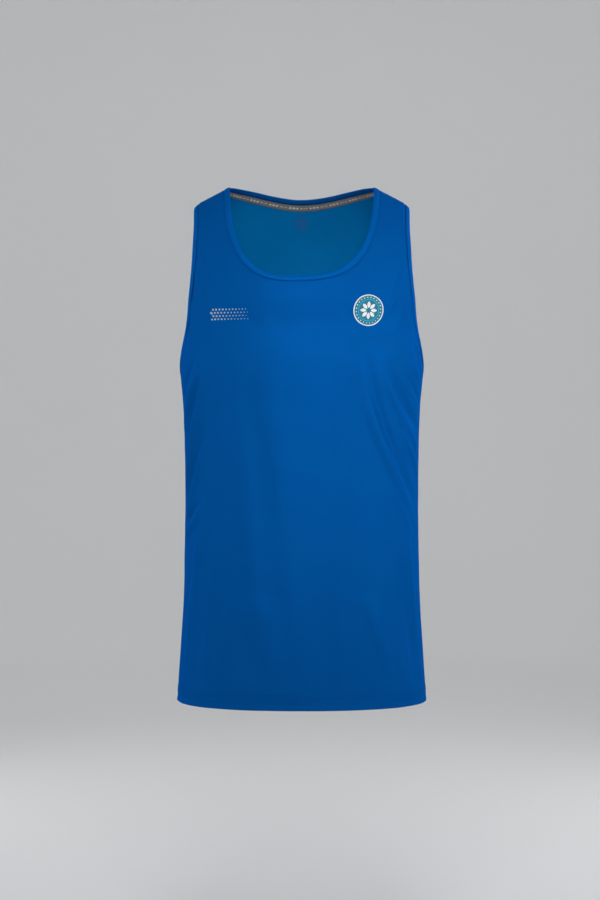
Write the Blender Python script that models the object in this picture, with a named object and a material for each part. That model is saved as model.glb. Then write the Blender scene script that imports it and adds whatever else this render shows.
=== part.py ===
"""A running singlet, filled out as when it is worn, with nobody in it.

Metres, +Z up. The front faces -Y and the wearer's left is +X. The origin is midway between the
shoulders, at the height of the neck's shoulder points. Both panels lie on one smooth torso form,
which is the outer face of the cloth, and their walls go inwards from it.
"""

import math

import bmesh
import bpy
import numpy as np

FRONT, BACK = -1, 1  # the sign of y on each side

# The torso form, as level sections: half of its width at the side seams, and how far the front and
# the back stand out from the plane of the side seams.
HEIGHT, HALF_WIDTH, FRONT_DEPTH, BACK_DEPTH = range(4)
SECTIONS = (
    (-0.7223, 0.1754, 0.1290, 0.1190),
    (-0.6500, 0.1711, 0.1280, 0.1180),
    (-0.5770, 0.1666, 0.1260, 0.1130),
    (-0.5100, 0.1650, 0.1235, 0.1060),
    (-0.4415, 0.1642, 0.1225, 0.1010),
    (-0.3730, 0.1649, 0.1240, 0.1010),
    (-0.3060, 0.1675, 0.1270, 0.1050),
    (-0.2625, 0.1712, 0.1285, 0.1080),
    (-0.2000, 0.1702, 0.1290, 0.1100),
    (-0.1400, 0.1692, 0.1280, 0.1100),
    (-0.0700, 0.1725, 0.1250, 0.1080),
    (0.0450, 0.1750, 0.1200, 0.1050),
)
SECTION_POWER = 2.3  # 2 makes each section an ellipse, and more makes it squarer

# Above the underarm the depths close in on the shoulder line, which both shoulder seams follow.
UNDERARM = -0.2625
SHOULDER_PEAK = 0.0322  # where the two shoulder lines would meet over the neck
SHOULDER_DROP = 0.0583  # from there down to the shoulder's end
SHOULDER_REACH = 0.152
SHOULDER_CURVE = 1.45  # 1 makes the line straight
TIP_START, TIP_END = 0.140, 0.156  # between these the line rounds off over the shoulder's end
TIP_DROP = 0.0045
RISE_POWER = 1.8
ROUND_POWER = {FRONT: 2.2, BACK: 2.5}

# The neck seam is a scoop in front view on the front, and a shallow arc from above on the back.
NECK_HALF_WIDTH = 0.1081  # on the shoulder line
NECK_DROP = 0.1380
SCOOP_POWER = 2.9
SCOOP_TAPER = 0.065  # the share by which the scoop is narrower at its foot
NECK_LEAN = 0.034  # the scoop hangs this much higher to the wearer's left, per metre across
NECK_REACH = 0.0634
ARC_POWER = 1.72

# The armhole seam is an upright oval in side view.
ARMHOLE_SHOULDER = 0.1458  # how far out it crosses the shoulder line
ARMHOLE_REACH = {FRONT: 0.058, BACK: 0.054}

# Cloth and trims
SEAM_GAP = 0.0003
CLOTH = 0.0012
HEM = SECTIONS[0][HEIGHT]
HEM_CLOTH = 0.0018  # the hem is turned up inside, so it is thicker
HEM_TURN = 0.020
HEM_STEP = 0.002
BAND_WIDTH = 0.0075
BAND_HALF_THICKNESS = 0.0010
BAND_ROUND = 0.0007  # how far in from its edges a band has its full thickness
BAND_EDGE_HALF = 0.00045  # half of its thickness at the edges
ROLL = {FRONT: math.radians(14), BACK: math.radians(4)}  # how far the neck band leans in
ROLL_FROM, ROLL_FULL = 0.45, 0.95  # it leans where it points up: from none to the whole angle
TAPE_WIDTH = 0.010
TAPE_THICKNESS = 0.0008
TAPE_MARGIN = 0.0004  # from the neck seam down to the tape

# How finely the panels are divided
ARMHOLE_STEPS = 16
GIRTH_STEPS = 32
SIDE_STEPS = 3
YOKE_STEPS = {FRONT: 7, BACK: 9}
BODY_STEPS = 18
YOKE_DEPTH = 0.070  # from the underarm down to where the level rows begin
RISE = 0.25  # about a panel's length from the underarm level up to the shoulder line
NECK_SIDE_SHARE = 0.40  # the share of the neck seam that faces each armhole
COLUMN_PULL = 0.75  # how strongly the yoke's columns keep square to its edges
EVENING_ROUNDS, RELAXING_ROUNDS = 8, 5
CURVE_SAMPLES = 400
REACH_SAMPLES = 100
NORMAL_STEP = 1e-3  # in across and up
FORM_ROUNDS, PLAN_ROUNDS, HALVINGS = 12, 30, 50  # of the three searches for a place on the form
SHARP_ANGLE = math.radians(50)

# Largest folds, as soft lines on a panel from one point to another. A place across a panel runs
# from -1 at the wearer's right side seam to 1 at the left one. The bow moves the line's middle
# sideways, and a positive rise is a ridge, a negative one a trough.
HALF_PANEL = 0.24  # about half of a panel's width, measured round the body
FOLD_TAPER = 0.7  # below 1 a fold keeps more of its rise towards its ends
SEAM_FADE = 0.022  # folds die out over this distance from a side seam
SHOULDER_FADE = 0.15  # and over this much of the rise to the shoulder line
FOLDS = (
    # side, from_across, from_height, to_across, to_height, bow, half_width, rise
    (FRONT, -0.98, -0.201, 0.98, -0.199, 0.000, 0.042, -0.0055),
    (FRONT, -0.90, -0.262, 0.90, -0.260, 0.000, 0.060, 0.0012),
    (FRONT, 0.30, -0.236, 0.80, -0.447, -0.020, 0.012, -0.0042),
    (FRONT, 0.25, -0.245, 0.74, -0.458, -0.020, 0.013, 0.0040),
    (FRONT, 0.44, -0.248, 0.84, -0.345, -0.010, 0.012, -0.0036),
    (FRONT, 0.44, -0.272, 0.82, -0.368, -0.010, 0.012, 0.0040),
    (FRONT, 0.60, -0.345, 0.88, -0.412, 0.000, 0.012, 0.0030),
    (FRONT, 0.70, -0.222, 0.86, -0.280, 0.000, 0.012, -0.0026),
    (FRONT, 0.66, -0.460, 0.74, -0.630, 0.000, 0.018, 0.0028),
    (FRONT, 0.62, -0.530, 0.72, -0.700, 0.000, 0.020, -0.0026),
    (FRONT, -0.56, -0.250, -0.90, -0.350, 0.000, 0.014, 0.0048),
    (FRONT, -0.57, -0.262, -0.90, -0.392, 0.003, 0.012, -0.0036),
    (FRONT, -0.55, -0.262, -0.88, -0.432, 0.006, 0.014, 0.0058),
    (FRONT, -0.57, -0.335, -0.85, -0.448, 0.002, 0.012, -0.0034),
    (FRONT, -0.55, -0.355, -0.84, -0.470, 0.002, 0.012, 0.0034),
    (FRONT, -0.60, -0.452, -0.86, -0.495, 0.000, 0.012, 0.0030),
    (FRONT, -0.64, -0.485, -0.76, -0.640, 0.004, 0.017, 0.0034),
    (FRONT, -0.56, -0.560, -0.64, -0.700, 0.000, 0.020, -0.0022),
    (FRONT, -0.27, -0.250, -0.11, -0.500, -0.002, 0.024, -0.0018),
    (FRONT, -0.165, -0.245, -0.02, -0.520, -0.003, 0.022, 0.0014),
    (FRONT, -0.27, -0.430, -0.21, -0.600, 0.000, 0.020, 0.0026),
    (FRONT, -0.36, -0.592, -0.15, -0.596, 0.000, 0.042, 0.0045),
    (FRONT, -0.30, -0.560, -0.23, -0.685, 0.000, 0.024, -0.0042),
    (FRONT, -0.14, -0.570, -0.12, -0.690, 0.000, 0.022, 0.0032),
    (FRONT, -0.03, -0.500, -0.02, -0.722, 0.000, 0.019, 0.0026),
    (FRONT, 0.10, -0.530, 0.09, -0.722, 0.000, 0.022, -0.0034),
    (FRONT, 0.31, -0.565, 0.46, -0.680, 0.000, 0.016, 0.0030),
    (FRONT, -0.62, -0.116, -0.48, -0.172, 0.000, 0.012, 0.0034),
    (FRONT, 0.61, -0.122, 0.46, -0.184, 0.000, 0.012, 0.0024),
    (BACK, -0.72, -0.190, 0.72, -0.200, 0.004, 0.055, 0.0034),
    (BACK, 0.10, -0.220, 0.24, -0.520, 0.008, 0.030, 0.0046),
    (BACK, -0.16, -0.240, -0.10, -0.560, -0.008, 0.026, 0.0041),
    (BACK, -0.03, -0.300, 0.06, -0.640, 0.006, 0.024, -0.0043),
    (BACK, -0.36, -0.250, -0.84, -0.440, -0.010, 0.018, 0.0041),
    (BACK, 0.40, -0.240, 0.86, -0.400, 0.010, 0.018, 0.0041),
    (BACK, 0.52, -0.250, 0.90, -0.340, 0.004, 0.014, -0.0027),
    (BACK, -0.34, -0.500, -0.46, -0.700, 0.000, 0.026, -0.0038),
    (BACK, 0.36, -0.520, 0.44, -0.690, 0.006, 0.024, 0.0035),
)

PANEL_BLUE = (0.0030, 0.0840, 0.3200)
BAND_BLUE = (0.0030, 0.0900, 0.3500)
TAPE_GREY = (0.1500, 0.1300, 0.1200)
CLOTH_ROUGHNESS = 0.62
TAPE_ROUGHNESS = 0.75


def column_at(column, height):
    """One column of the sections at these heights, on a smooth curve through its rows."""
    heights = np.array([row[HEIGHT] for row in SECTIONS])
    values = np.array([row[column] for row in SECTIONS])
    slopes = np.gradient(values, heights)
    low = np.clip(np.searchsorted(heights, height) - 1, 0, len(heights) - 2)
    span = heights[low + 1] - heights[low]
    part = (height - heights[low]) / span
    rest = 1 - part
    ends = values[low] * (1 + 2 * part) * rest**2 + values[low + 1] * (3 - 2 * part) * part**2
    bends = (slopes[low] * rest - slopes[low + 1] * part) * part * rest * span
    return ends + bends


def fade(part):
    part = np.clip(part, 0, 1)
    return part * part * (3 - 2 * part)


def shoulder_line(x):
    slope = SHOULDER_DROP * (np.abs(x) / SHOULDER_REACH) ** SHOULDER_CURVE
    tip = TIP_DROP * fade((np.abs(x) - TIP_START) / (TIP_END - TIP_START))
    return SHOULDER_PEAK - slope - tip


def depth_column(side):
    return FRONT_DEPTH if side == FRONT else BACK_DEPTH


def form(side, across, up):
    """Points on the form. across runs from -1 to 1 between the side seams. up is 1 on the shoulder
    line, 0 at the underarm, and below that the distance down as a negative number."""
    turn = np.abs(across) * math.pi / 2
    lift = np.clip(up, 0, 1) * math.pi / 2
    width_part = np.sin(turn) ** (2 / SECTION_POWER)
    depth_part = np.clip(np.cos(turn), 0, 1) ** (2 / SECTION_POWER)
    z = UNDERARM + np.minimum(up, 0)
    for _ in range(FORM_ROUNDS):
        x = np.sign(across) * column_at(HALF_WIDTH, z) * width_part
        top = shoulder_line(x) - UNDERARM
        z = UNDERARM + np.minimum(up, 0) + top * np.sin(lift) ** (2 / RISE_POWER)
    closing = np.clip(np.cos(lift), 0, 1) ** (2 / ROUND_POWER[side])
    y = column_at(depth_column(side), z) * depth_part * closing + SEAM_GAP / 2
    return np.stack([x, side * y, z], axis=-1)


def unit(vectors):
    return vectors / np.linalg.norm(vectors, axis=-1, keepdims=True)


def square_to(normals, ahead):
    """The normals, turned square to the way a line runs."""
    return unit(normals - ahead * np.sum(ahead * normals, axis=1, keepdims=True))


def form_normal(side, across, up):
    left, right = np.minimum(across + NORMAL_STEP, 1), np.maximum(across - NORMAL_STEP, -1)
    above, below = np.minimum(up + NORMAL_STEP, 1), up - NORMAL_STEP
    sideways = form(side, left, up) - form(side, right, up)
    upwards = form(side, across, above) - form(side, across, below)
    return unit(-side * np.cross(sideways, upwards))


def place_in_front_view(x, z):
    """The across and up of points above the underarm, from where they are in front view."""
    share = np.clip(np.abs(x) / column_at(HALF_WIDTH, z), 0, 1)
    across = np.sign(x) * np.arcsin(share ** (SECTION_POWER / 2)) * 2 / math.pi
    part = np.clip((z - UNDERARM) / (shoulder_line(x) - UNDERARM), 0, 1)
    up = np.arcsin(part ** (RISE_POWER / 2)) * 2 / math.pi
    return across, up


def place_from_above(side, x, reach):
    """The same for points near the top, from where they are in plan."""
    up = np.ones_like(x)
    for _ in range(PLAN_ROUNDS):
        z = UNDERARM + (shoulder_line(x) - UNDERARM) * np.sin(up * math.pi / 2) ** (2 / RISE_POWER)
        share = np.abs(x) / column_at(HALF_WIDTH, z)
        full = column_at(depth_column(side), z) * (1 - share**SECTION_POWER) ** (1 / SECTION_POWER)
        up = np.arccos((reach / full) ** (ROUND_POWER[side] / 2)) * 2 / math.pi
    return place_in_front_view(x, z)


def neck_seam(side):
    """across and up along the neck seam, from the wearer's right shoulder to the left."""
    angle = np.linspace(0, math.pi, CURVE_SAMPLES)
    cosine, sine = np.cos(angle), np.clip(np.sin(angle), 0, 1)
    power = 2 / (SCOOP_POWER if side == FRONT else ARC_POWER)
    x = -NECK_HALF_WIDTH * np.sign(cosine) * np.abs(cosine) ** power
    if side == FRONT:
        fall = sine**power
        z = shoulder_line(NECK_HALF_WIDTH) - NECK_DROP * fall + NECK_LEAN * fall * x
        across, up = place_in_front_view(x * (1 - SCOOP_TAPER * fall), z)
    else:
        across, up = place_from_above(side, x, NECK_REACH * sine**power)
    up[[0, -1]] = 1
    return across, up


def armhole_seam(side):
    """across and up along the left armhole's seam, from the shoulder to the underarm."""
    top = shoulder_line(ARMHOLE_SHOULDER)
    angle = np.linspace(0, math.pi, ARMHOLE_STEPS + 1)
    z = (top + UNDERARM) / 2 + (top - UNDERARM) / 2 * np.cos(angle)
    depth = ARMHOLE_REACH[side] * np.sin(angle)
    reach = np.linspace(0, SHOULDER_REACH * 2, CURVE_SAMPLES)
    on_line = np.interp(-z, -shoulder_line(reach), reach)
    low, high = np.zeros_like(z), np.minimum(column_at(HALF_WIDTH, z), on_line)
    for _ in range(HALVINGS):
        x = (low + high) / 2
        across, up = place_in_front_view(x, z)
        outside = np.abs(form(side, across, up)[:, 1]) - SEAM_GAP / 2 < depth
        low, high = np.where(outside, low, x), np.where(outside, x, high)
    across, up = place_in_front_view(low, z)
    up[0] = 1
    across[-1], up[-1] = 1, 0
    return across, up


def spaced(side, across, up, shares):
    """Points at these shares of the length of a line on the form."""
    steps = np.linalg.norm(np.diff(form(side, across, up), axis=0), axis=1)
    length = np.concatenate([[0], np.cumsum(steps)])
    at = np.asarray(shares) * length[-1]
    return np.interp(at, length, across), np.interp(at, length, up)


def fold_rise(side, across, up, height):
    """How far the folds lift the cloth off the form."""
    sideways = across * HALF_PANEL
    total = np.zeros_like(sideways)
    for fold_side, a0, z0, a1, z1, bow, half_width, rise in FOLDS:
        if fold_side != side:
            continue
        run = np.array([(a1 - a0) * HALF_PANEL, z1 - z0])
        length = np.hypot(*run)
        from_start = np.stack([sideways - a0 * HALF_PANEL, height - z0], axis=-1)
        part = np.clip(from_start @ run / length**2, 0, 1)
        off = (from_start[..., 1] * run[0] - from_start[..., 0] * run[1]) / length
        off = (off - 4 * bow * part * (1 - part)) / half_width
        along = np.sin(math.pi * part) ** FOLD_TAPER
        total += rise * along * np.cos(np.clip(off, -1, 1) * math.pi / 2) ** 2
    at_sides = fade((1 - np.abs(across)) * HALF_PANEL / SEAM_FADE)
    return total * at_sides * fade((1 - up) / SHOULDER_FADE)


def flat(across, up):
    """Places on a panel as points in a plane, in metres, close to how they lie on the cloth."""
    return np.stack([across * HALF_PANEL, np.where(up > 0, up * RISE, up)], axis=-1)


def from_flat(points):
    across, up = points[..., 0] / HALF_PANEL, points[..., 1]
    return across, np.where(up > 0, up / RISE, up)


def outward(line, turn):
    """Directions square to a line in the plane, evened out where it has corners. The line's two
    ends are on the shoulder line, along which theirs run."""
    along = unit(np.gradient(line, axis=0))
    directions = turn * np.stack([-along[:, 1], along[:, 0]], axis=1)
    directions[0], directions[-1] = (-1, 0), (1, 0)
    for _ in range(EVENING_ROUNDS):
        directions[1:-1] = unit(directions[:-2] + 2 * directions[1:-1] + directions[2:])
    return directions


def relaxed(grid):
    """A grid of points in the plane, with its inner ones moved so that its lines run smoothly and
    no cell folds over. It is Winslow's equation, solved step by step."""
    grid = grid.copy()
    for _ in range(RELAXING_ROUNDS):
        left, right, above, below = grid[1:-1, :-2], grid[1:-1, 2:], grid[:-2, 1:-1], grid[2:, 1:-1]
        along, down = right - left, below - above
        twist = grid[2:, 2:] - grid[2:, :-2] - grid[:-2, 2:] + grid[:-2, :-2]
        a = np.sum(down * down, axis=-1, keepdims=True)
        b = np.sum(along * down, axis=-1, keepdims=True)
        c = np.sum(along * along, axis=-1, keepdims=True)
        grid[1:-1, 1:-1] = (a * (left + right) + c * (above + below) - b * twist / 2) / (2 * (a + c))
    return grid


def yoke_rows(side):
    """across and up, row by row, from the neck seam out to the armholes and the yoke's foot. The
    columns between them are curves that leave and arrive square to these edges."""
    across, up = armhole_seam(side)
    drop = np.linspace(0, -YOKE_DEPTH, SIDE_STEPS + 1)[1:]
    left = np.concatenate([flat(across, up), flat(np.ones_like(drop), drop)])
    level = np.linspace(-1, 1, GIRTH_STEPS + 1)[1:-1]
    foot = flat(level, np.full_like(level, -YOKE_DEPTH))
    outer = np.concatenate([left * (-1, 1), foot, left[::-1]])
    side_shares = np.linspace(0, NECK_SIDE_SHARE, ARMHOLE_STEPS + 1)
    middle = len(outer) - 2 * len(side_shares)
    foot_shares = np.linspace(NECK_SIDE_SHARE, 1 - NECK_SIDE_SHARE, middle + 2)[1:-1]
    neck_shares = np.concatenate([side_shares, foot_shares, 1 - side_shares[::-1]])
    neck = flat(*spaced(side, *neck_seam(side), neck_shares))
    pull = COLUMN_PULL * np.linalg.norm(outer - neck, axis=1, keepdims=True)
    leaving, arriving = outward(neck, -1) * pull, outward(outer, -1) * pull
    first = TAPE_MARGIN * 2 + TAPE_WIDTH
    steps = YOKE_STEPS[side]
    rows = np.empty((steps + 1, 2, len(outer)))
    part = np.linspace(0, 1, REACH_SAMPLES)[:, None]
    rest = 1 - part
    for column in range(len(outer)):
        ends = neck[column] * (1 + 2 * part) * rest**2 + outer[column] * (3 - 2 * part) * part**2
        bends = leaving[column] * part * rest**2 - arriving[column] * part**2 * rest
        line = from_flat(ends + bends)
        distances = np.linalg.norm(np.diff(form(side, *line), axis=0), axis=1)
        length = np.concatenate([[0], np.cumsum(distances)])
        wanted = np.concatenate([[0], np.linspace(first, length[-1], steps)])
        rows[:, 0, column] = np.interp(wanted, length, line[0])
        rows[:, 1, column] = np.interp(wanted, length, line[1])
    inner = relaxed(flat(rows[1:, 0], rows[1:, 1]))
    rows[1:] = np.stack(from_flat(inner), axis=1)
    return rows


def body_rows():
    """The same below the yoke, between the side seams."""
    across = np.linspace(-1, 1, GIRTH_STEPS + 1)
    turned = HEM + HEM_TURN
    levels = np.linspace(UNDERARM - YOKE_DEPTH, turned + HEM_STEP, BODY_STEPS + 1)[1:]
    levels = np.concatenate([levels, [turned, HEM]])
    return [np.stack([across, np.full_like(across, level - UNDERARM)]) for level in levels]


def split(quad, points):
    """Two triangles, parted along the quad's shorter diagonal."""
    a, b, c, d = quad
    if np.linalg.norm(points[a] - points[c]) <= np.linalg.norm(points[b] - points[d]):
        return [(a, b, c), (a, c, d)]
    return [(a, b, d), (b, c, d)]


def panel(side):
    """A panel's outer and inner points and its outer faces, and the points along its open edges."""
    yoke = yoke_rows(side)
    rows = [(0, row) for row in yoke] + [(ARMHOLE_STEPS + SIDE_STEPS, row) for row in body_rows()]
    starts = np.cumsum([0] + [row.shape[1] for _, row in rows])
    across, up = np.concatenate([row for _, row in rows], axis=1)
    on_form = form(side, across, up)
    normals = form_normal(side, across, up)
    outer = on_form + normals * fold_rise(side, across, up, on_form[:, 2])[:, None]
    columns = yoke.shape[2]
    last = starts[YOKE_STEPS[side]]
    edges = {
        "neck": np.arange(columns),
        "right": last + np.arange(ARMHOLE_STEPS + 1),
        "left": last + columns - 1 - np.arange(ARMHOLE_STEPS + 1),
    }
    for edge in edges.values():
        normals[edge] = square_to(normals[edge], unit(np.gradient(outer[edge], axis=0)))
    thick = np.where(on_form[:, 2] < HEM + HEM_TURN + HEM_STEP / 2, HEM_CLOTH, CLOTH)
    inner = outer - normals * thick[:, None]
    faces = []
    for above in range(len(rows) - 1):
        first, row = rows[above + 1]
        upper = starts[above] + first - rows[above][0]
        lower = starts[above + 1]
        for step in range(row.shape[1] - 1):
            a, b = int(upper + step), int(lower + step)
            quad = (a, b, b + 1, a + 1) if side == FRONT else (a, a + 1, b + 1, b)
            faces += split(quad, outer)
    return {"outer": outer, "inner": inner, "normals": normals, "faces": faces, "edges": edges}


def wall_faces(faces, count):
    """The faces of a closed wall: the outer ones, the inner ones, and the rim between them."""
    edges = {pair for face in faces for pair in zip(face, face[1:] + face[:1])}
    rim = [(b, a, a + count, b + count) for a, b in edges if (b, a) not in edges]
    return faces + [tuple(i + count for i in reversed(face)) for face in faces] + sorted(rim)


def seam_loop(front, back, edge):
    """The closed seam line where the two panels' edges make one opening, and its normals."""
    loop = []
    for key in ("outer", "normals"):
        ahead = front[key][front["edges"][edge]]
        behind = back[key][back["edges"][edge]]
        ends = (ahead[[0, -1]] + behind[[0, -1]]) / 2
        loop.append(np.concatenate([ends[:1], ahead[1:-1], ends[1:], behind[-2:0:-1]]))
    return loop


def band(front, back, edge):
    """The rings of a binding that carries the cloth on past a seam, into the opening."""
    seam, normals = seam_loop(front, back, edge)
    ahead = unit(np.roll(seam, -1, axis=0) - np.roll(seam, 1, axis=0))
    normals = square_to(normals, ahead)
    into = np.cross(normals, ahead)
    if edge == "right":
        into = -into
    roll = np.zeros(len(seam))
    if edge == "neck":
        side_roll = np.where(seam[:, 1] < 0, ROLL[FRONT], ROLL[BACK])
        upright = np.clip((into[:, 2] - ROLL_FROM) / (ROLL_FULL - ROLL_FROM), 0, 1)
        roll = side_roll * upright**2
    cosine, sine = np.cos(roll)[:, None], np.sin(roll)[:, None]
    reach = into * cosine - normals * sine
    rise = normals * cosine + into * sine
    foot = seam - normals * CLOTH / 2 + into * (SEAM_GAP + BAND_EDGE_HALF * np.abs(sine))
    far, wide = BAND_WIDTH - BAND_ROUND, BAND_HALF_THICKNESS
    profile = (
        (0, BAND_EDGE_HALF),
        (BAND_ROUND, wide),
        (far, wide),
        (BAND_WIDTH, BAND_EDGE_HALF),
        (BAND_WIDTH, -BAND_EDGE_HALF),
        (far, -wide),
        (BAND_ROUND, -wide),
        (0, -BAND_EDGE_HALF),
    )
    return np.stack([foot + reach * along + rise * out for along, out in profile], axis=1)


def tape(back):
    """The rings of a tape that lies on the inside of the back, just below the neck seam."""
    columns = len(back["edges"]["neck"])
    inner, normals = back["inner"], back["normals"][:columns]
    near, far = inner[:columns], inner[columns : 2 * columns]
    down = unit(far - near)
    top = near + down * TAPE_MARGIN - normals * SEAM_GAP
    foot = top + down * TAPE_WIDTH
    return np.stack(
        [top, foot, foot - normals * TAPE_THICKNESS, top - normals * TAPE_THICKNESS], axis=1
    )


def ring_faces(rings, closed):
    """Faces between neighbouring rings, and across both ends unless the rings close up."""
    count, around = rings.shape[:2]
    faces = []
    for ring in range(count if closed else count - 1):
        a, b = ring * around, (ring + 1) % count * around
        for i in range(around):
            j = (i + 1) % around
            faces.append((a + i, a + j, b + j, b + i))
    if not closed:
        faces.append(tuple(range(around)))
        faces.append(tuple(range((count - 1) * around, count * around)))
    return faces


def cloth_material(name, colour, roughness):
    material = bpy.data.materials.new(name)
    material.use_nodes = True
    shader = material.node_tree.nodes["Principled BSDF"]
    shader.inputs["Base Color"].default_value = (*colour, 1)
    shader.inputs["Roughness"].default_value = roughness
    shader.inputs["Metallic"].default_value = 0
    return material


def add_solid(name, points, faces, material):
    mesh = bpy.data.meshes.new(name)
    mesh.from_pydata(points.reshape(-1, 3).tolist(), [], faces)
    shape = bmesh.new()
    shape.from_mesh(mesh)
    bmesh.ops.recalc_face_normals(shape, faces=shape.faces)
    shape.to_mesh(mesh)
    shape.free()
    mesh.shade_smooth()
    mesh.set_sharp_from_angle(angle=SHARP_ANGLE)
    mesh.materials.append(material)
    bpy.context.scene.collection.objects.link(bpy.data.objects.new(name, mesh))


def main():
    for old in list(bpy.data.objects):
        bpy.data.objects.remove(old, do_unlink=True)
    front, back = panel(FRONT), panel(BACK)
    for name, side in (("front", front), ("back", back)):
        points = np.concatenate([side["outer"], side["inner"]])
        faces = wall_faces(side["faces"], len(side["outer"]))
        add_solid(name, points, faces, cloth_material(name, PANEL_BLUE, CLOTH_ROUGHNESS))
    for name, edge in (
        ("neck_band", "neck"),
        ("armhole_band_left", "left"),
        ("armhole_band_right", "right"),
    ):
        rings = band(front, back, edge)
        blue = cloth_material(name, BAND_BLUE, CLOTH_ROUGHNESS)
        add_solid(name, rings, ring_faces(rings, closed=True), blue)
    rings = tape(back)
    grey = cloth_material("neck_tape", TAPE_GREY, TAPE_ROUGHNESS)
    add_solid("neck_tape", rings, ring_faces(rings, closed=False), grey)


main()
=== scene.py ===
"""The looks of a royal blue running singlet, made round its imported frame.

Metres, +Z up, the front to -Y and the wearer's left to +X, as in the frame. All the cloth lies on
one torso form, the same as the solids', and its creases, seams and stitches are laid out on it.
"""

import math

import bpy
import numpy as np
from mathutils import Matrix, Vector
from mathutils.kdtree import KDTree


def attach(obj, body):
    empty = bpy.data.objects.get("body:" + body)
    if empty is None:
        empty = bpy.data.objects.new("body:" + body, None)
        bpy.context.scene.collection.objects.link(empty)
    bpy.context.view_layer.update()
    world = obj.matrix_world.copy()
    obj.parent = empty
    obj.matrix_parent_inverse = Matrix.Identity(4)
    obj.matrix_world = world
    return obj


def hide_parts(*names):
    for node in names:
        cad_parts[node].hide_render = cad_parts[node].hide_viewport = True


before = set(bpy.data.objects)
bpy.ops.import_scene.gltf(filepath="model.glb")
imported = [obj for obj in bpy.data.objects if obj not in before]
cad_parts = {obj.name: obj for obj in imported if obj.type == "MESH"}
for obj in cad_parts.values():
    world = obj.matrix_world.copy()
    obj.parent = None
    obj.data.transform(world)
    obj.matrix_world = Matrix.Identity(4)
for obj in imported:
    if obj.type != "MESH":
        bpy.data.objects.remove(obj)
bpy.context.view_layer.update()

FRONT, BACK = -1, 1  # the sign of y on each side

# ------------------------------------------------------------------ the form, as in the solids

HEIGHT, HALF_WIDTH, FRONT_DEPTH, BACK_DEPTH = range(4)
SECTIONS = (
    (-0.7223, 0.1754, 0.1290, 0.1190),
    (-0.6500, 0.1711, 0.1280, 0.1180),
    (-0.5770, 0.1666, 0.1260, 0.1130),
    (-0.5100, 0.1650, 0.1235, 0.1060),
    (-0.4415, 0.1642, 0.1225, 0.1010),
    (-0.3730, 0.1649, 0.1240, 0.1010),
    (-0.3060, 0.1675, 0.1270, 0.1050),
    (-0.2625, 0.1712, 0.1285, 0.1080),
    (-0.2000, 0.1702, 0.1290, 0.1100),
    (-0.1400, 0.1692, 0.1280, 0.1100),
    (-0.0700, 0.1725, 0.1250, 0.1080),
    (0.0450, 0.1750, 0.1200, 0.1050),
)
SECTION_POWER = 2.3
UNDERARM = -0.2625
HEM = SECTIONS[0][HEIGHT]
SHOULDER_PEAK = 0.0322
SHOULDER_DROP = 0.0583
SHOULDER_REACH = 0.152
SHOULDER_CURVE = 1.45
TIP_START, TIP_END, TIP_DROP = 0.140, 0.156, 0.0045
RISE_POWER = 1.8
ROUND_POWER = {FRONT: 2.2, BACK: 2.5}
NECK_HALF_WIDTH = 0.1081
NECK_DROP = 0.1380
SCOOP_POWER = 2.9
SCOOP_TAPER = 0.065
NECK_LEAN = 0.034  # the front neckline hangs a little higher on the wearer's left
NECK_REACH = 0.0634
ARC_POWER = 1.72
ARMHOLE_SHOULDER = 0.1458
ARMHOLE_REACH = {FRONT: 0.058, BACK: 0.054}
HALF_PANEL = 0.24  # about half of a panel's width, measured round the body
RISE = 0.25  # about a panel's length from the underarm level up to the shoulder line
FIRST_ROW = 0.0108  # from the neck seam to the yoke grid's first row
YOKE_DEPTH = 0.070  # from the underarm down to where the level rows begin
ARMHOLE_STEPS, SIDE_STEPS, GIRTH_STEPS = 16, 3, 32
YOKE_STEPS = {FRONT: 7, BACK: 9}
NECK_SIDE_SHARE = 0.40
COLUMN_PULL = 0.75
EVENING_ROUNDS, RELAXING_ROUNDS = 8, 5
CURVE_SAMPLES, REACH_SAMPLES = 400, 100
NORMAL_STEP = 1e-3
FORM_ROUNDS, PLAN_ROUNDS, HALVINGS = 12, 30, 50


def unit(vectors):
    return vectors / np.linalg.norm(vectors, axis=-1, keepdims=True)


def fade(part):
    part = np.clip(part, 0, 1)
    return part * part * (3 - 2 * part)


def blend(start, end, part):
    """From start to end as part goes from 0 to 1, level at both."""
    return start * (1 + 2 * part) * (1 - part) ** 2 + end * (3 - 2 * part) * part**2


def length_along(line):
    """The distance along a line to each of its points."""
    return np.concatenate([[0], np.cumsum(np.linalg.norm(np.diff(line, axis=0), axis=1))])


def column_at(column, height):
    """One column of the sections at these heights, on a smooth curve through its rows."""
    heights = np.array([row[HEIGHT] for row in SECTIONS])
    values = np.array([row[column] for row in SECTIONS])
    slopes = np.gradient(values, heights)
    low = np.clip(np.searchsorted(heights, height) - 1, 0, len(heights) - 2)
    span = heights[low + 1] - heights[low]
    part = (height - heights[low]) / span
    rest = 1 - part
    bends = (slopes[low] * rest - slopes[low + 1] * part) * part * rest * span
    return blend(values[low], values[low + 1], part) + bends


def shoulder_line(x):
    slope = SHOULDER_DROP * (np.abs(x) / SHOULDER_REACH) ** SHOULDER_CURVE
    tip = TIP_DROP * fade((np.abs(x) - TIP_START) / (TIP_END - TIP_START))
    return SHOULDER_PEAK - slope - tip


def depth_column(side):
    return FRONT_DEPTH if side == FRONT else BACK_DEPTH


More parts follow.
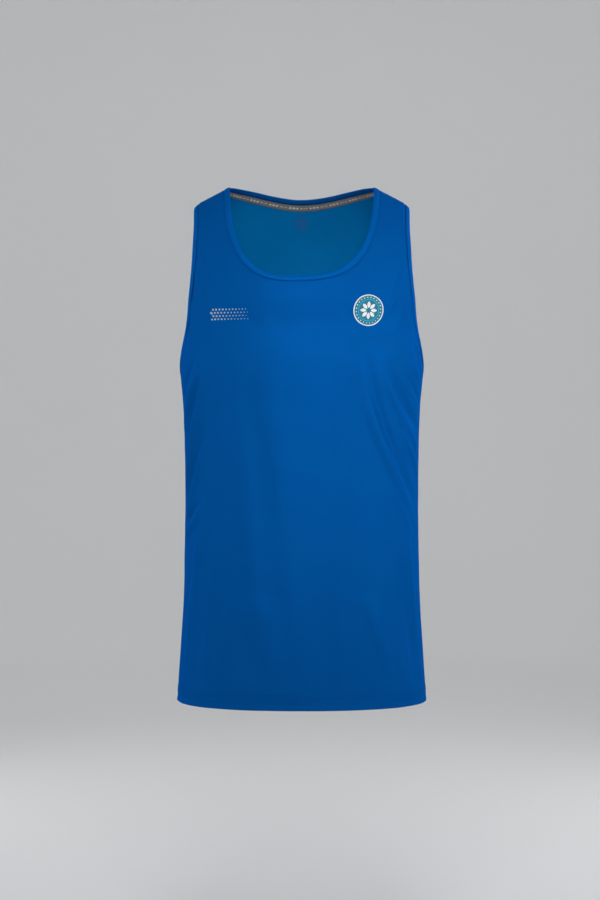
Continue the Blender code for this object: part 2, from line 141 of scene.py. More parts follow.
def form(side, across, up):
    """Points on the form. across runs from -1 to 1 between the side seams. up is 1 on the shoulder
    line, 0 at the underarm, and below that the distance down as a negative number."""
    turn = np.abs(across) * math.pi / 2
    lift = np.clip(up, 0, 1) * math.pi / 2
    width_part = np.sin(turn) ** (2 / SECTION_POWER)
    depth_part = np.clip(np.cos(turn), 0, 1) ** (2 / SECTION_POWER)
    z = UNDERARM + np.minimum(up, 0)
    for _ in range(FORM_ROUNDS):
        x = np.sign(across) * column_at(HALF_WIDTH, z) * width_part
        top = shoulder_line(x) - UNDERARM
        z = UNDERARM + np.minimum(up, 0) + top * np.sin(lift) ** (2 / RISE_POWER)
    closing = np.clip(np.cos(lift), 0, 1) ** (2 / ROUND_POWER[side])
    y = column_at(depth_column(side), z) * depth_part * closing
    return np.stack([x, side * y, z], axis=-1)


def form_normal(side, across, up):
    left, right = np.minimum(across + NORMAL_STEP, 1), np.maximum(across - NORMAL_STEP, -1)
    above, below = np.minimum(up + NORMAL_STEP, 1), up - NORMAL_STEP
    sideways = form(side, left, up) - form(side, right, up)
    upwards = form(side, across, above) - form(side, across, below)
    return unit(-side * np.cross(sideways, upwards))


def place_in_front_view(x, z):
    """The across and up of points above the underarm, from where they are in front view."""
    share = np.clip(np.abs(x) / column_at(HALF_WIDTH, z), 0, 1)
    across = np.sign(x) * np.arcsin(share ** (SECTION_POWER / 2)) * 2 / math.pi
    part = np.clip((z - UNDERARM) / (shoulder_line(x) - UNDERARM), 0, 1)
    return across, np.arcsin(part ** (RISE_POWER / 2)) * 2 / math.pi


def place_from_above(side, x, reach):
    """The same for points near the top, from where they are in plan."""
    up = np.ones_like(x)
    for _ in range(PLAN_ROUNDS):
        z = UNDERARM + (shoulder_line(x) - UNDERARM) * np.sin(up * math.pi / 2) ** (2 / RISE_POWER)
        share = np.abs(x) / column_at(HALF_WIDTH, z)
        full = column_at(depth_column(side), z) * (1 - share**SECTION_POWER) ** (1 / SECTION_POWER)
        up = np.arccos((reach / full) ** (ROUND_POWER[side] / 2)) * 2 / math.pi
    return place_in_front_view(x, z)


def neck_seam(side):
    """across and up along the neck seam, from the wearer's right shoulder to the left."""
    angle = np.linspace(0, math.pi, CURVE_SAMPLES)
    cosine, sine = np.cos(angle), np.clip(np.sin(angle), 0, 1)
    power = 2 / (SCOOP_POWER if side == FRONT else ARC_POWER)
    x = -NECK_HALF_WIDTH * np.sign(cosine) * np.abs(cosine) ** power
    if side == FRONT:
        fall = sine**power
        z = shoulder_line(NECK_HALF_WIDTH) - NECK_DROP * fall + NECK_LEAN * fall * x
        across, up = place_in_front_view(x * (1 - SCOOP_TAPER * fall), z)
    else:
        across, up = place_from_above(side, x, NECK_REACH * sine**power)
    up[[0, -1]] = 1
    return across, up


def armhole_seam(side, steps=ARMHOLE_STEPS):
    """across and up along the left armhole's seam, from the shoulder to the underarm."""
    top = shoulder_line(ARMHOLE_SHOULDER)
    angle = np.linspace(0, math.pi, steps + 1)
    z = (top + UNDERARM) / 2 + (top - UNDERARM) / 2 * np.cos(angle)
    depth = ARMHOLE_REACH[side] * np.sin(angle)
    reach = np.linspace(0, SHOULDER_REACH * 2, CURVE_SAMPLES)
    on_line = np.interp(-z, -shoulder_line(reach), reach)
    low, high = np.zeros_like(z), np.minimum(column_at(HALF_WIDTH, z), on_line)
    for _ in range(HALVINGS):
        x = (low + high) / 2
        across, up = place_in_front_view(x, z)
        outside = np.abs(form(side, across, up)[:, 1]) < depth
        low, high = np.where(outside, low, x), np.where(outside, x, high)
    across, up = place_in_front_view(low, z)
    up[0] = 1
    across[-1], up[-1] = 1, 0
    return across, up


def spaced(side, across, up, shares):
    """Points at these shares of the length of a line on the form."""
    length = length_along(form(side, across, up))
    at = np.asarray(shares) * length[-1]
    return np.interp(at, length, across), np.interp(at, length, up)


def flat(across, up):
    """Places on a panel as points in a plane, in metres, close to how they lie on the cloth."""
    return np.stack([across * HALF_PANEL, np.where(up > 0, up * RISE, up)], axis=-1)


def from_flat(points):
    across, up = np.clip(points[..., 0] / HALF_PANEL, -1, 1), points[..., 1]
    return across, np.where(up > 0, up / RISE, up)


def outward(line):
    """Directions square to a line in the plane, evened out where it has corners. The line's two
    ends are on the shoulder line, along which theirs run."""
    along = unit(np.gradient(line, axis=0))
    directions = np.stack([along[:, 1], -along[:, 0]], axis=1)
    directions[0], directions[-1] = (-1, 0), (1, 0)
    for _ in range(EVENING_ROUNDS):
        directions[1:-1] = unit(directions[:-2] + 2 * directions[1:-1] + directions[2:])
    return directions


def relaxed(grid):
    """A grid of points in the plane, with its inner ones moved so that its lines run smoothly and
    no cell folds over. It is Winslow's equation, solved step by step."""
    grid = grid.copy()
    for _ in range(RELAXING_ROUNDS):
        left, right, above, below = grid[1:-1, :-2], grid[1:-1, 2:], grid[:-2, 1:-1], grid[2:, 1:-1]
        along, down = right - left, below - above
        twist = grid[2:, 2:] - grid[2:, :-2] - grid[:-2, 2:] + grid[:-2, :-2]
        a = np.sum(down * down, axis=-1, keepdims=True)
        b = np.sum(along * down, axis=-1, keepdims=True)
        c = np.sum(along * along, axis=-1, keepdims=True)
        grid[1:-1, 1:-1] = (a * (left + right) + c * (above + below) - b * twist / 2) / (2 * (a + c))
    return grid


def yoke_grid(side):
    """Points in the plane, row by row, from the neck seam out to the armholes and the yoke's foot.
    The columns between them are curves that leave and arrive square to these edges."""
    drop = np.linspace(0, -YOKE_DEPTH, SIDE_STEPS + 1)[1:]
    left = np.concatenate([flat(*armhole_seam(side)), flat(np.ones_like(drop), drop)])
    level = np.linspace(-1, 1, GIRTH_STEPS + 1)[1:-1]
    foot = flat(level, np.full_like(level, -YOKE_DEPTH))
    outer = np.concatenate([left * (-1, 1), foot, left[::-1]])
    side_shares = np.linspace(0, NECK_SIDE_SHARE, ARMHOLE_STEPS + 1)
    middle = len(outer) - 2 * len(side_shares)
    foot_shares = np.linspace(NECK_SIDE_SHARE, 1 - NECK_SIDE_SHARE, middle + 2)[1:-1]
    neck_shares = np.concatenate([side_shares, foot_shares, 1 - side_shares[::-1]])
    neck = flat(*spaced(side, *neck_seam(side), neck_shares))
    pull = COLUMN_PULL * np.linalg.norm(outer - neck, axis=1, keepdims=True)
    leaving, arriving = outward(neck) * pull, outward(outer) * pull
    steps = YOKE_STEPS[side]
    grid = np.empty((steps + 1, len(outer), 2))
    part = np.linspace(0, 1, REACH_SAMPLES)[:, None]
    rest = 1 - part
    for column in range(len(outer)):
        bends = leaving[column] * part * rest**2 - arriving[column] * part**2 * rest
        line = from_flat(blend(neck[column], outer[column], part) + bends)
        length = length_along(form(side, *line))
        wanted = np.concatenate([[0], np.linspace(FIRST_ROW, length[-1], steps)])
        places = [np.interp(wanted, length, values) for values in line]
        grid[:, column] = flat(*places)
    grid[1:] = relaxed(grid[1:])
    return grid


# ------------------------------------------------------------------ creases

SEAM_FADE = 0.022  # folds die out over this distance from a side seam
SHOULDER_FADE = 0.15  # and over this much of the rise to the shoulder line
FOLD_TAPER = 0.7  # below 1 a fold keeps more of its rise towards its ends
FOLDS = (
    # side, from_across, from_height, to_across, to_height, bow, half_width, rise
    # the largest, which the solids have too, none of them narrower there than 0.012
    (FRONT, -0.98, -0.201, 0.98, -0.199, 0.000, 0.042, -0.0055),
    (FRONT, -0.90, -0.262, 0.90, -0.260, 0.000, 0.060, 0.0012),
    (FRONT, 0.30, -0.236, 0.80, -0.447, -0.020, 0.011, -0.0042),
    (FRONT, 0.25, -0.245, 0.74, -0.458, -0.020, 0.013, 0.0040),
    (FRONT, 0.44, -0.248, 0.84, -0.345, -0.010, 0.011, -0.0036),
    (FRONT, 0.44, -0.272, 0.82, -0.368, -0.010, 0.012, 0.0040),
    (FRONT, 0.60, -0.345, 0.88, -0.412, 0.000, 0.010, 0.0030),
    (FRONT, 0.70, -0.222, 0.86, -0.280, 0.000, 0.010, -0.0026),
    (FRONT, 0.66, -0.460, 0.74, -0.630, 0.000, 0.018, 0.0028),
    (FRONT, 0.62, -0.530, 0.72, -0.700, 0.000, 0.020, -0.0026),
    (FRONT, -0.56, -0.250, -0.90, -0.350, 0.000, 0.014, 0.0048),
    (FRONT, -0.57, -0.262, -0.90, -0.392, 0.003, 0.010, -0.0036),
    (FRONT, -0.55, -0.262, -0.88, -0.432, 0.006, 0.014, 0.0058),
    (FRONT, -0.57, -0.335, -0.85, -0.448, 0.002, 0.011, -0.0034),
    (FRONT, -0.55, -0.355, -0.84, -0.470, 0.002, 0.011, 0.0034),
    (FRONT, -0.60, -0.452, -0.86, -0.495, 0.000, 0.010, 0.0030),
    (FRONT, -0.64, -0.485, -0.76, -0.640, 0.004, 0.017, 0.0034),
    (FRONT, -0.56, -0.560, -0.64, -0.700, 0.000, 0.020, -0.0022),
    (FRONT, -0.27, -0.250, -0.11, -0.500, -0.002, 0.024, -0.0018),
    (FRONT, -0.165, -0.245, -0.02, -0.520, -0.003, 0.022, 0.0014),
    (FRONT, -0.27, -0.430, -0.21, -0.600, 0.000, 0.020, 0.0026),
    (FRONT, -0.36, -0.592, -0.15, -0.596, 0.000, 0.042, 0.0045),
    (FRONT, -0.30, -0.560, -0.23, -0.685, 0.000, 0.024, -0.0042),
    (FRONT, -0.14, -0.570, -0.12, -0.690, 0.000, 0.022, 0.0032),
    (FRONT, -0.03, -0.500, -0.02, -0.722, 0.000, 0.019, 0.0026),
    (FRONT, 0.10, -0.530, 0.09, -0.722, 0.000, 0.022, -0.0034),
    (FRONT, 0.31, -0.565, 0.46, -0.680, 0.000, 0.016, 0.0030),
    (FRONT, -0.62, -0.116, -0.48, -0.172, 0.000, 0.009, 0.0034),
    (FRONT, 0.61, -0.122, 0.46, -0.184, 0.000, 0.010, 0.0024),
    (BACK, -0.72, -0.190, 0.72, -0.200, 0.004, 0.055, 0.0034),
    (BACK, 0.10, -0.220, 0.24, -0.520, 0.008, 0.030, 0.0046),
    (BACK, -0.16, -0.240, -0.10, -0.560, -0.008, 0.026, 0.0041),
    (BACK, -0.03, -0.300, 0.06, -0.640, 0.006, 0.024, -0.0043),
    (BACK, -0.36, -0.250, -0.84, -0.440, -0.010, 0.018, 0.0041),
    (BACK, 0.40, -0.240, 0.86, -0.400, 0.010, 0.018, 0.0041),
    (BACK, 0.52, -0.250, 0.90, -0.340, 0.004, 0.014, -0.0027),
    (BACK, -0.34, -0.500, -0.46, -0.700, 0.000, 0.026, -0.0038),
    (BACK, 0.36, -0.520, 0.44, -0.690, 0.006, 0.024, 0.0035),
    # finer ones
    (FRONT, 0.60, -0.268, 0.87, -0.310, 0.000, 0.007, -0.0016),
    (FRONT, 0.66, -0.250, 0.90, -0.296, 0.002, 0.007, 0.0012),
    (FRONT, 0.52, -0.300, 0.86, -0.388, -0.004, 0.008, -0.0012),
    (FRONT, 0.50, -0.420, 0.80, -0.500, -0.004, 0.010, 0.0012),
    (FRONT, 0.09, -0.260, 0.15, -0.380, 0.002, 0.012, 0.0014),
    (FRONT, 0.10, -0.330, 0.20, -0.520, 0.004, 0.016, -0.0010),
    (FRONT, -0.62, -0.238, -0.88, -0.305, 0.003, 0.008, -0.0022),
    (FRONT, -0.66, -0.300, -0.86, -0.372, 0.002, 0.007, 0.0010),
    (FRONT, -0.62, -0.440, -0.86, -0.476, 0.000, 0.008, -0.0024),
    (FRONT, -0.58, -0.520, -0.80, -0.560, 0.002, 0.011, -0.0012),
    (FRONT, -0.70, -0.600, -0.78, -0.690, 0.002, 0.012, 0.0014),
    (FRONT, -0.42, -0.260, -0.46, -0.440, 0.000, 0.014, 0.0012),
    (FRONT, -0.44, -0.400, -0.38, -0.620, 0.002, 0.014, 0.0012),
    (FRONT, -0.50, -0.620, -0.46, -0.715, 0.000, 0.013, -0.0011),
    (FRONT, 0.52, -0.600, 0.58, -0.712, 0.000, 0.012, 0.0012),
    (FRONT, -0.60, -0.098, -0.49, -0.130, 0.000, 0.007, 0.0022),
    (FRONT, -0.60, -0.150, -0.50, -0.190, 0.001, 0.008, 0.0016),
    (FRONT, 0.66, -0.160, 0.52, -0.205, 0.000, 0.008, 0.0010),
    (FRONT, -0.30, -0.165, -0.12, -0.205, 0.002, 0.012, 0.0007),
    (FRONT, 0.34, -0.160, 0.14, -0.198, -0.002, 0.012, 0.0007),
    (BACK, 0.58, -0.320, 0.86, -0.430, 0.004, 0.010, 0.0019),
    (BACK, -0.56, -0.290, -0.86, -0.372, -0.003, 0.010, 0.0018),
    (BACK, -0.64, -0.255, -0.88, -0.312, -0.002, 0.008, -0.0014),
    (BACK, -0.62, -0.430, -0.82, -0.510, -0.003, 0.012, 0.0016),
    (BACK, 0.30, -0.290, 0.40, -0.470, 0.004, 0.014, -0.0019),
    (BACK, -0.28, -0.320, -0.22, -0.520, -0.003, 0.014, 0.0016),
    (BACK, -0.14, -0.560, -0.18, -0.710, 0.002, 0.016, 0.0020),
    (BACK, 0.18, -0.560, 0.20, -0.715, 0.000, 0.016, -0.0019),
    (BACK, 0.62, -0.560, 0.70, -0.700, 0.002, 0.014, 0.0019),
    (BACK, -0.66, -0.580, -0.70, -0.705, 0.002, 0.014, -0.0018),
    (BACK, -0.48, -0.080, -0.34, -0.150, 0.002, 0.010, 0.0014),
    (BACK, 0.50, -0.075, 0.35, -0.145, -0.002, 0.010, 0.0015),
    (BACK, -0.10, -0.075, 0.12, -0.082, 0.002, 0.012, 0.0004),
)

# The cloth is nowhere quite even: long soft waves, each a row of crests across a panel.
WAVES = (
    # side, crests_per_metre_across, crests_per_metre_up, start, rise
    (FRONT, 11.0, 3.0, 0.10, 0.00030),
    (FRONT, -17.0, 6.0, 0.55, 0.00022),
    (FRONT, 29.0, 5.0, 0.30, 0.00012),
    (FRONT, 7.0, 19.0, 0.80, 0.00013),
    (BACK, 9.0, -4.0, 0.40, 0.00034),
    (BACK, 19.0, 5.0, 0.20, 0.00022),
    (BACK, -31.0, 6.0, 0.65, 0.00012),
    (BACK, 8.0, 16.0, 0.15, 0.00014),
)


def crease_rise(side, across, up, height):
    """How far the folds and waves lift the cloth off the form."""
    sideways = across * HALF_PANEL
    total = np.zeros_like(sideways)
    for fold_side, a0, z0, a1, z1, bow, half_width, rise in FOLDS:
        if fold_side != side:
            continue
        run = np.array([(a1 - a0) * HALF_PANEL, z1 - z0])
        length = np.hypot(*run)
        from_start = np.stack([sideways - a0 * HALF_PANEL, height - z0], axis=-1)
        part = np.clip(from_start @ run / length**2, 0, 1)
        off = (from_start[..., 1] * run[0] - from_start[..., 0] * run[1]) / length
        off = (off - 4 * bow * part * (1 - part)) / half_width
        along = np.sin(math.pi * part) ** FOLD_TAPER
        total += rise * along * np.cos(np.clip(off, -1, 1) * math.pi / 2) ** 2
    for wave_side, per_across, per_up, start, rise in WAVES:
        if wave_side == side:
            turns = sideways * per_across + height * per_up + start
            total += rise * np.sin(2 * math.pi * turns)
    at_sides = fade((1 - np.abs(across)) * HALF_PANEL / SEAM_FADE)
    return total * at_sides * fade((1 - up) / SHOULDER_FADE)


def cloth(side, across, up):
    """Points on the cloth's outer face, and the directions out of it."""
    on_form = form(side, across, up)
    normals = form_normal(side, across, up)
    return on_form + normals * crease_rise(side, across, up, on_form[..., 2])[..., None], normals


# ------------------------------------------------------------------ finer grids

# Where the fine rows and columns lie within one step of the coarse grid
EVEN = (0, 0.25, 0.50, 0.75)
NEAR_START = (0, 0.03, 0.08, 0.15, 0.25, 0.40, 0.60, 0.80)
NEAR_END = (0, *(1 - part for part in NEAR_START[:0:-1]))
NECK_ROWS = (0, 0.04, 0.09, 0.15, 0.22, 0.31, 0.42, 0.55, 0.75)
ARMHOLE_ROWS = (0, 0.12, 0.24, 0.36, 0.48, 0.60, 0.70, 0.78, 0.85, 0.91, 0.96)
YOKE_ROWS = {FRONT: 8, BACK: 6}  # fine rows in each middle step
BODY_ROW = 0.0026  # between the level rows below the yoke
HEM_ROW = 0.0010  # between those of the hem
HEM_ZONE = 0.030
HEM_EDGE_ROWS = (0.0006, 0.0003, 0.0001, 0.0)
UNDERARM_COLUMNS = (ARMHOLE_STEPS, ARMHOLE_STEPS + 2 * SIDE_STEPS + GIRTH_STEPS)
FOOT_COLUMNS = (ARMHOLE_STEPS + SIDE_STEPS, ARMHOLE_STEPS + SIDE_STEPS + GIRTH_STEPS)
COLUMN_COUNT = 2 * (ARMHOLE_STEPS + SIDE_STEPS) + GIRTH_STEPS


def smooth_through(points, stops, breaks=()):
    """Points at fractional places along a row of points, on a curve that is smooth but for breaks."""
    slopes = np.gradient(points, axis=0)
    low = np.clip(np.floor(stops).astype(int), 0, len(points) - 2)
    start, end = slopes[low].copy(), slopes[low + 1].copy()
    for corner in breaks:
        start[low == corner] = points[corner + 1] - points[corner]
        end[low + 1 == corner] = points[corner] - points[corner - 1]
    part = (stops - low).reshape((-1,) + (1,) * (points.ndim - 1))
    bends = (start * (1 - part) - end * part) * part * (1 - part)
    return blend(points[low], points[low + 1], part) + bends


def stops_for(steps):
    """Fractional places from the parts within each step, with the last step's end."""
    stops = [step + part for step, parts in enumerate(steps) for part in parts]
    return np.array(stops + [len(steps)], float)


def column_stops():
    """The fine columns, which lie closest together by the shoulder and side seams."""
    steps = [EVEN] * COLUMN_COUNT
    steps[0] = steps[FOOT_COLUMNS[0]] = NEAR_START
    steps[FOOT_COLUMNS[1] - 1] = steps[-1] = NEAR_END
    return stops_for(steps)


COLUMN_STOPS = column_stops()
COARSE_YOKE = {side: yoke_grid(side) for side in (FRONT, BACK)}


def fine_yoke(side):
    coarse = COARSE_YOKE[side]
    lines = [smooth_through(row, COLUMN_STOPS) for row in coarse[:-1]]
    lines.append(smooth_through(coarse[-1], COLUMN_STOPS, UNDERARM_COLUMNS + FOOT_COLUMNS))
    middle = tuple(part / YOKE_ROWS[side] for part in range(YOKE_ROWS[side]))
    steps = [NECK_ROWS] + [middle] * (YOKE_STEPS[side] - 2) + [ARMHOLE_ROWS]
    return smooth_through(np.stack(lines), stops_for(steps))


def body_levels():
    """Heights of the fine rows below the yoke, down to the hem."""
    top, zone = UNDERARM - YOKE_DEPTH, HEM + HEM_ZONE
    even = np.linspace(top, zone, int((top - zone) / BODY_ROW) + 1)[1:]
    hem = np.arange(zone, HEM + HEM_ROW / 2, -HEM_ROW)[1:]
    return np.concatenate([even, hem, HEM + np.array(HEM_EDGE_ROWS)])


# ------------------------------------------------------------------ seams and hem, as relief

# The shells are the cloth alone. The solids' thicker walls also count the air in a soft knit.
CLOTH = 0.0007
DITCH_DEPTH, DITCH_REACH = 0.00042, 0.0008
ALLOWANCE_RISE = 0.00028
ALLOWANCE_FROM, ALLOWANCE_TO, ALLOWANCE_SOFT = 0.0010, 0.0056, 0.0012
STITCH_LINE = 0.0024  # from the neck and armhole seams to the topstitching
GROOVE_DEPTH, GROOVE_REACH = 0.00014, 0.0007
PUCKER_RISE, PUCKER_REACH, PUCKER_LENGTH = 0.00012, 0.007, 0.013
PUCKER_MEAN, PUCKER_SPREAD, PUCKER_SHIFT = 0.6, 0.4, 1.6  # what the drift does to rise and place
PUCKER_DRIFT = ((1.0, 41, 0), (0.6, 97, 2))  # waves: rise, radians per metre, start
HEM_TURN = 0.0215
HEM_LINES = (0.0160, 0.0205)  # the two rows of hem stitches, from the edge
HEM_STEP_RISE = 0.00040
HEM_STEP_SPAN, HEM_STEP_BELOW = 0.0020, 0.0015  # over this height, this much of it below the turn
INNER_STEP_SPAN = 0.0006  # all of it below the turn
HEM_ROLL_HEIGHT, HEM_ROLL_DEPTH, HEM_ROLL_REACH = 0.0082, 0.00075, 0.0030
HEM_ROLL_MEAN, HEM_ROLL_WAVES = 0.65, ((0.25, 37, 1), (0.20, 83, 0))
HEM_ROUND = 0.0008
NECK_SAMPLES, ARMHOLE_SAMPLES, SIDE_SAMPLES, SHOULDER_SAMPLES = 700, 240, 400, 60
MIRROR = np.array([-1, 1, 1])


def nearest_on(line, points):
    """How far each point is from a line, and how far along the line it is."""
    tree = KDTree(len(line))
    for index, point in enumerate(line):
        tree.insert(point, index)
    tree.balance()
    found = [tree.find(point) for point in points]
    length = length_along(line)
    return np.array([hit[2] for hit in found]), length[[hit[1] for hit in found]]


def bell(values, reach):
    return np.exp(-((values / reach) ** 2))


def wander(along, waves):
    """An uneven wave along a line."""
    return sum(rise * np.sin(along * pace + start) for rise, pace, start in waves)


def seam_relief(distance, along, allowance, stitched):
    """The height of the cloth's face near a seam: a ditch, the allowance under it, a stitched groove
    and small uneven puckers."""
    relief = -DITCH_DEPTH * bell(distance, DITCH_REACH)
    near = fade((distance - ALLOWANCE_FROM) / ALLOWANCE_SOFT)
    far = fade((distance - ALLOWANCE_TO) / ALLOWANCE_SOFT)
    relief += allowance * ALLOWANCE_RISE * (near - far)
    if stitched:
        relief -= GROOVE_DEPTH * bell(distance - STITCH_LINE, GROOVE_REACH)
    drift = wander(along, PUCKER_DRIFT)
    pucker = np.sin(2 * math.pi * along / PUCKER_LENGTH + PUCKER_SHIFT * drift)
    rise = PUCKER_RISE * (PUCKER_MEAN + PUCKER_SPREAD * drift)
    return relief + rise * pucker * bell(distance, PUCKER_REACH)


def hem_rounding(above):
    """How far each face draws in at the hem's rounded edge."""
    into = np.clip(HEM_ROUND - above, 0, None)
    return HEM_ROUND - np.sqrt(np.clip(HEM_ROUND**2 - into**2, 0, None))


def hem_relief(above, along):
    """The height of the face over the turned-up hem: a step, two stitched grooves and a soft roll."""
    relief = HEM_STEP_RISE * (1 - fade((above - HEM_TURN + HEM_STEP_BELOW) / HEM_STEP_SPAN))
    for line in HEM_LINES:
        relief -= GROOVE_DEPTH * bell(above - line, GROOVE_REACH)
    depth = HEM_ROLL_DEPTH * (HEM_ROLL_MEAN + wander(along, HEM_ROLL_WAVES))
    relief -= depth * bell(above - HEM_ROLL_HEIGHT, HEM_ROLL_REACH)
    return relief - hem_rounding(above)


def seam_lines(side):
    """The panel's edges as lines on the form: (line, how far its allowance shows, stitched). The
    allowances of the side and shoulder seams are pressed to the back."""
    neck = form(side, *spaced(side, *neck_seam(side), np.linspace(0, 1, NECK_SAMPLES)))
    armhole = form(side, *armhole_seam(side, ARMHOLE_SAMPLES))
    below = np.linspace(0, HEM - UNDERARM, SIDE_SAMPLES)
    seam = form(side, np.ones_like(below), below)
    reach = np.linspace(NECK_HALF_WIDTH, ARMHOLE_SHOULDER, SHOULDER_SAMPLES)
    shoulder = np.stack([reach, 0 * reach, shoulder_line(reach)], axis=1)
    pressed = 1 if side == BACK else 0
    left = [(armhole, 1, True), (seam, pressed, False), (shoulder, pressed, False)]
    right = [(line * MIRROR, shows, stitched) for line, shows, stitched in left]
    return [(neck, 1, True), *left, *right]


# ------------------------------------------------------------------ materials

# name: colour, a darker colour for the painted shade between the loops and for darker patches, sheen
KNITS = {
    "panel_knit": ((0.0008, 0.0880, 0.3450), (0.0006, 0.0740, 0.2950), 0.12),
    # the reverse face, tealer and lighter than the face: its lightness is painted light on the inside of
    # the back
    "panel_knit_reverse": ((0.0010, 0.1850, 0.4780), (0.0008, 0.1620, 0.4220), 0.06),
    "binding_knit": ((0.0008, 0.1000, 0.3900), (0.0006, 0.0860, 0.3400), 0.12),
    # the binding's inner leg: a darker copy of the binding knit, as painted shade
    "binding_knit_inside_shaded": ((0.0012, 0.0950, 0.3450), (0.0008, 0.0800, 0.2900), 0.04),
}
WALE, COURSE = 0.0009, 0.0007  # a stitch's width and height
LOOP_LEAN = 2.2  # how far a course's V dips beside its rib, in radians
COURSE_DEPTH = 0.3
CLOUD_SCALE, STREAK_SCALE, GRAIN_SCALE = 16, 420, 700
STREAK_STRETCH = 0.02
# The streaks' share of the grain, the clouds' of the patches, and the loops' of the colour's change,
# where the loops paint shade into their hollows
STREAK_SHARE, CLOUD_SHARE, LOOP_SHARE = 0.6, 0.5, 0.35
KNIT_ROUGHNESS, KNIT_ROUGHENING = 0.42, 0.16
GLOSS_SHARE = 0.22  # how much of the knit's light its bright threads give back in their own colour
GLOSS_TINT = (0.0000, 0.3400, 0.9000)
SHEEN_TINT, SHEEN_ROUGHNESS = (0.0030, 0.3000, 0.9000), 0.45
KNIT_BUMP, KNIT_BUMP_HEIGHT = 0.35, 0.00012

# name: colour, roughness, and the grain's scale, detail, darkest share, specular level and bump
FILM = (900, 3, 0.86, 0.30, 0.15)
GRAINED = {
    "blue_thread": ((0.0008, 0.0680, 0.2700), 0.35, 2600, 1, 0.70, 0.04, 0.30),
    "mark_print": ((0.0009, 0.1270, 0.3700), 0.55, *FILM),
    "silver_print": ((0.3200, 0.4400, 0.4900), 0.35, *FILM),
    "teal_print": ((0.0060, 0.1750, 0.2750), 0.45, *FILM),
    "bright_teal_print": ((0.0080, 0.3700, 0.5000), 0.45, *FILM),
    "white_print": ((0.7600, 0.7900, 0.8000), 0.45, *FILM),
}
GRAIN_ROUGHENING, GRAIN_HEIGHT = 0.2, 0.0001

TAPE_GREY, TAPE_SHADE, TAPE_PALE = (0.205, 0.193, 0.177), (0.150, 0.140, 0.128), (0.80, 0.79, 0.77)
TWILL = 0.0008  # from rib to rib
BLOTCH_SCALE = 500
# The twill's grooves darken the ground as painted shade, and the blotches vary it at random.
GROUND_LEAST, GROUND_TWILL, GROUND_BLOTCH = 0.2, 0.2, 0.6  # what makes the ground's colour paler
LOZENGE_LEAST, LOZENGE_BLOTCH = 0.35, 0.9  # how well the lozenges cover it
TAPE_ROUGHNESS, TAPE_SPECULAR, TAPE_SHEEN, TAPE_BUMP = 0.6, 0.25, 0.2, 0.4
MOTIF_LENGTH = 0.0300  # one repeat of the tape's pattern
MOTIF_CRISPNESS = 5.0
MOTIF_MARKS = (
    # centre as a part of the repeat, half length, half height
    (0.08, 0.0016, 0.0021),
    (0.17, 0.0009, 0.0009),
    (0.26, 0.0016, 0.0021),
    (0.35, 0.0009, 0.0009),
    (0.44, 0.0016, 0.0021),
    (0.64, 0.0026, 0.0008),
    (0.77, 0.0008, 0.0008),
    (0.88, 0.0018, 0.0008),
)


class Value:
    """A node's output, with arithmetic that adds Math nodes."""

    def __init__(self, tree, socket):
        self.tree = tree
        self.socket = socket

    def to(self, socket):
        self.tree.links.new(self.socket, socket)

    def apply(self, operation, *others):
        node = self.tree.nodes.new("ShaderNodeMath")
        node.operation = operation
        for socket, value in zip(node.inputs, (self, *others)):
            if isinstance(value, Value):
                value.to(socket)
            else:
                socket.default_value = value
        return Value(self.tree, node.outputs[0])

    def __add__(self, other):
        return self.apply("ADD", other)

    def __sub__(self, other):
        return self.apply("SUBTRACT", other)

    def __mul__(self, other):
        return self.apply("MULTIPLY", other)

    def __truediv__(self, other):
        return self.apply("DIVIDE", other)

    def __abs__(self):
        return self.apply("ABSOLUTE")

    def sine(self):
        return self.apply("SINE")

    def clamped(self):
        self.socket.node.use_clamp = True
        return self


def new_material(name):
    material = bpy.data.materials.new(name)
    material.use_nodes = True
    return material, material.node_tree, material.node_tree.nodes["Principled BSDF"]


def weave_coordinates(tree):
    """The cloth's own coordinates: across it, along it, and both as a vector."""
    weave = tree.nodes.new("ShaderNodeAttribute")
    weave.attribute_name = "weave"
    parts = tree.nodes.new("ShaderNodeSeparateXYZ")
    tree.links.new(weave.outputs["Vector"], parts.inputs[0])
    return [Value(tree, socket) for socket in (*parts.outputs[:2], weave.outputs["Vector"])]


def noise(vector, scale, detail=2.0):
    node = vector.tree.nodes.new("ShaderNodeTexNoise")
    node.inputs["Scale"].default_value = scale
    node.inputs["Detail"].default_value = detail
    vector.to(node.inputs["Vector"])
    return Value(vector.tree, node.outputs["Fac"])


def mixed(factor, first, second):
    node = factor.tree.nodes.new("ShaderNodeMix")
    node.data_type = "RGBA"
    factor.to(node.inputs[0])
    for socket, value in ((node.inputs[6], first), (node.inputs[7], second)):
        if isinstance(value, Value):
            value.to(socket)
        else:
            socket.default_value = (*value, 1)
    return Value(factor.tree, node.outputs[2])


def set_bump(shader, height, strength, distance):
    bump = height.tree.nodes.new("ShaderNodeBump")
    bump.inputs["Strength"].default_value = strength
    bump.inputs["Distance"].default_value = distance
    height.to(bump.inputs["Height"])
    Value(height.tree, bump.outputs["Normal"]).to(shader.inputs["Normal"])


def knit_height(sideways, lengthways):
    """Rows of knitted loops: rounded ribs along the cloth, crossed by V-shaped courses."""
    rib = abs((sideways * (math.pi / WALE)).sine())
    phase = lengthways * (2 * math.pi / COURSE) + rib * LOOP_LEAN
    return rib * (phase.sine() * COURSE_DEPTH + (1 - COURSE_DEPTH))


def knit_grain(sideways, lengthways, vector):
    """Streaks along the wales over a fine grain."""
    node = vector.tree.nodes.new("ShaderNodeCombineXYZ")
    sideways.to(node.inputs[0])
    (lengthways * STREAK_STRETCH).to(node.inputs[1])
    streaks = noise(Value(vector.tree, node.outputs[0]), STREAK_SCALE)
    return streaks * STREAK_SHARE + noise(vector, GRAIN_SCALE) * (1 - STREAK_SHARE)


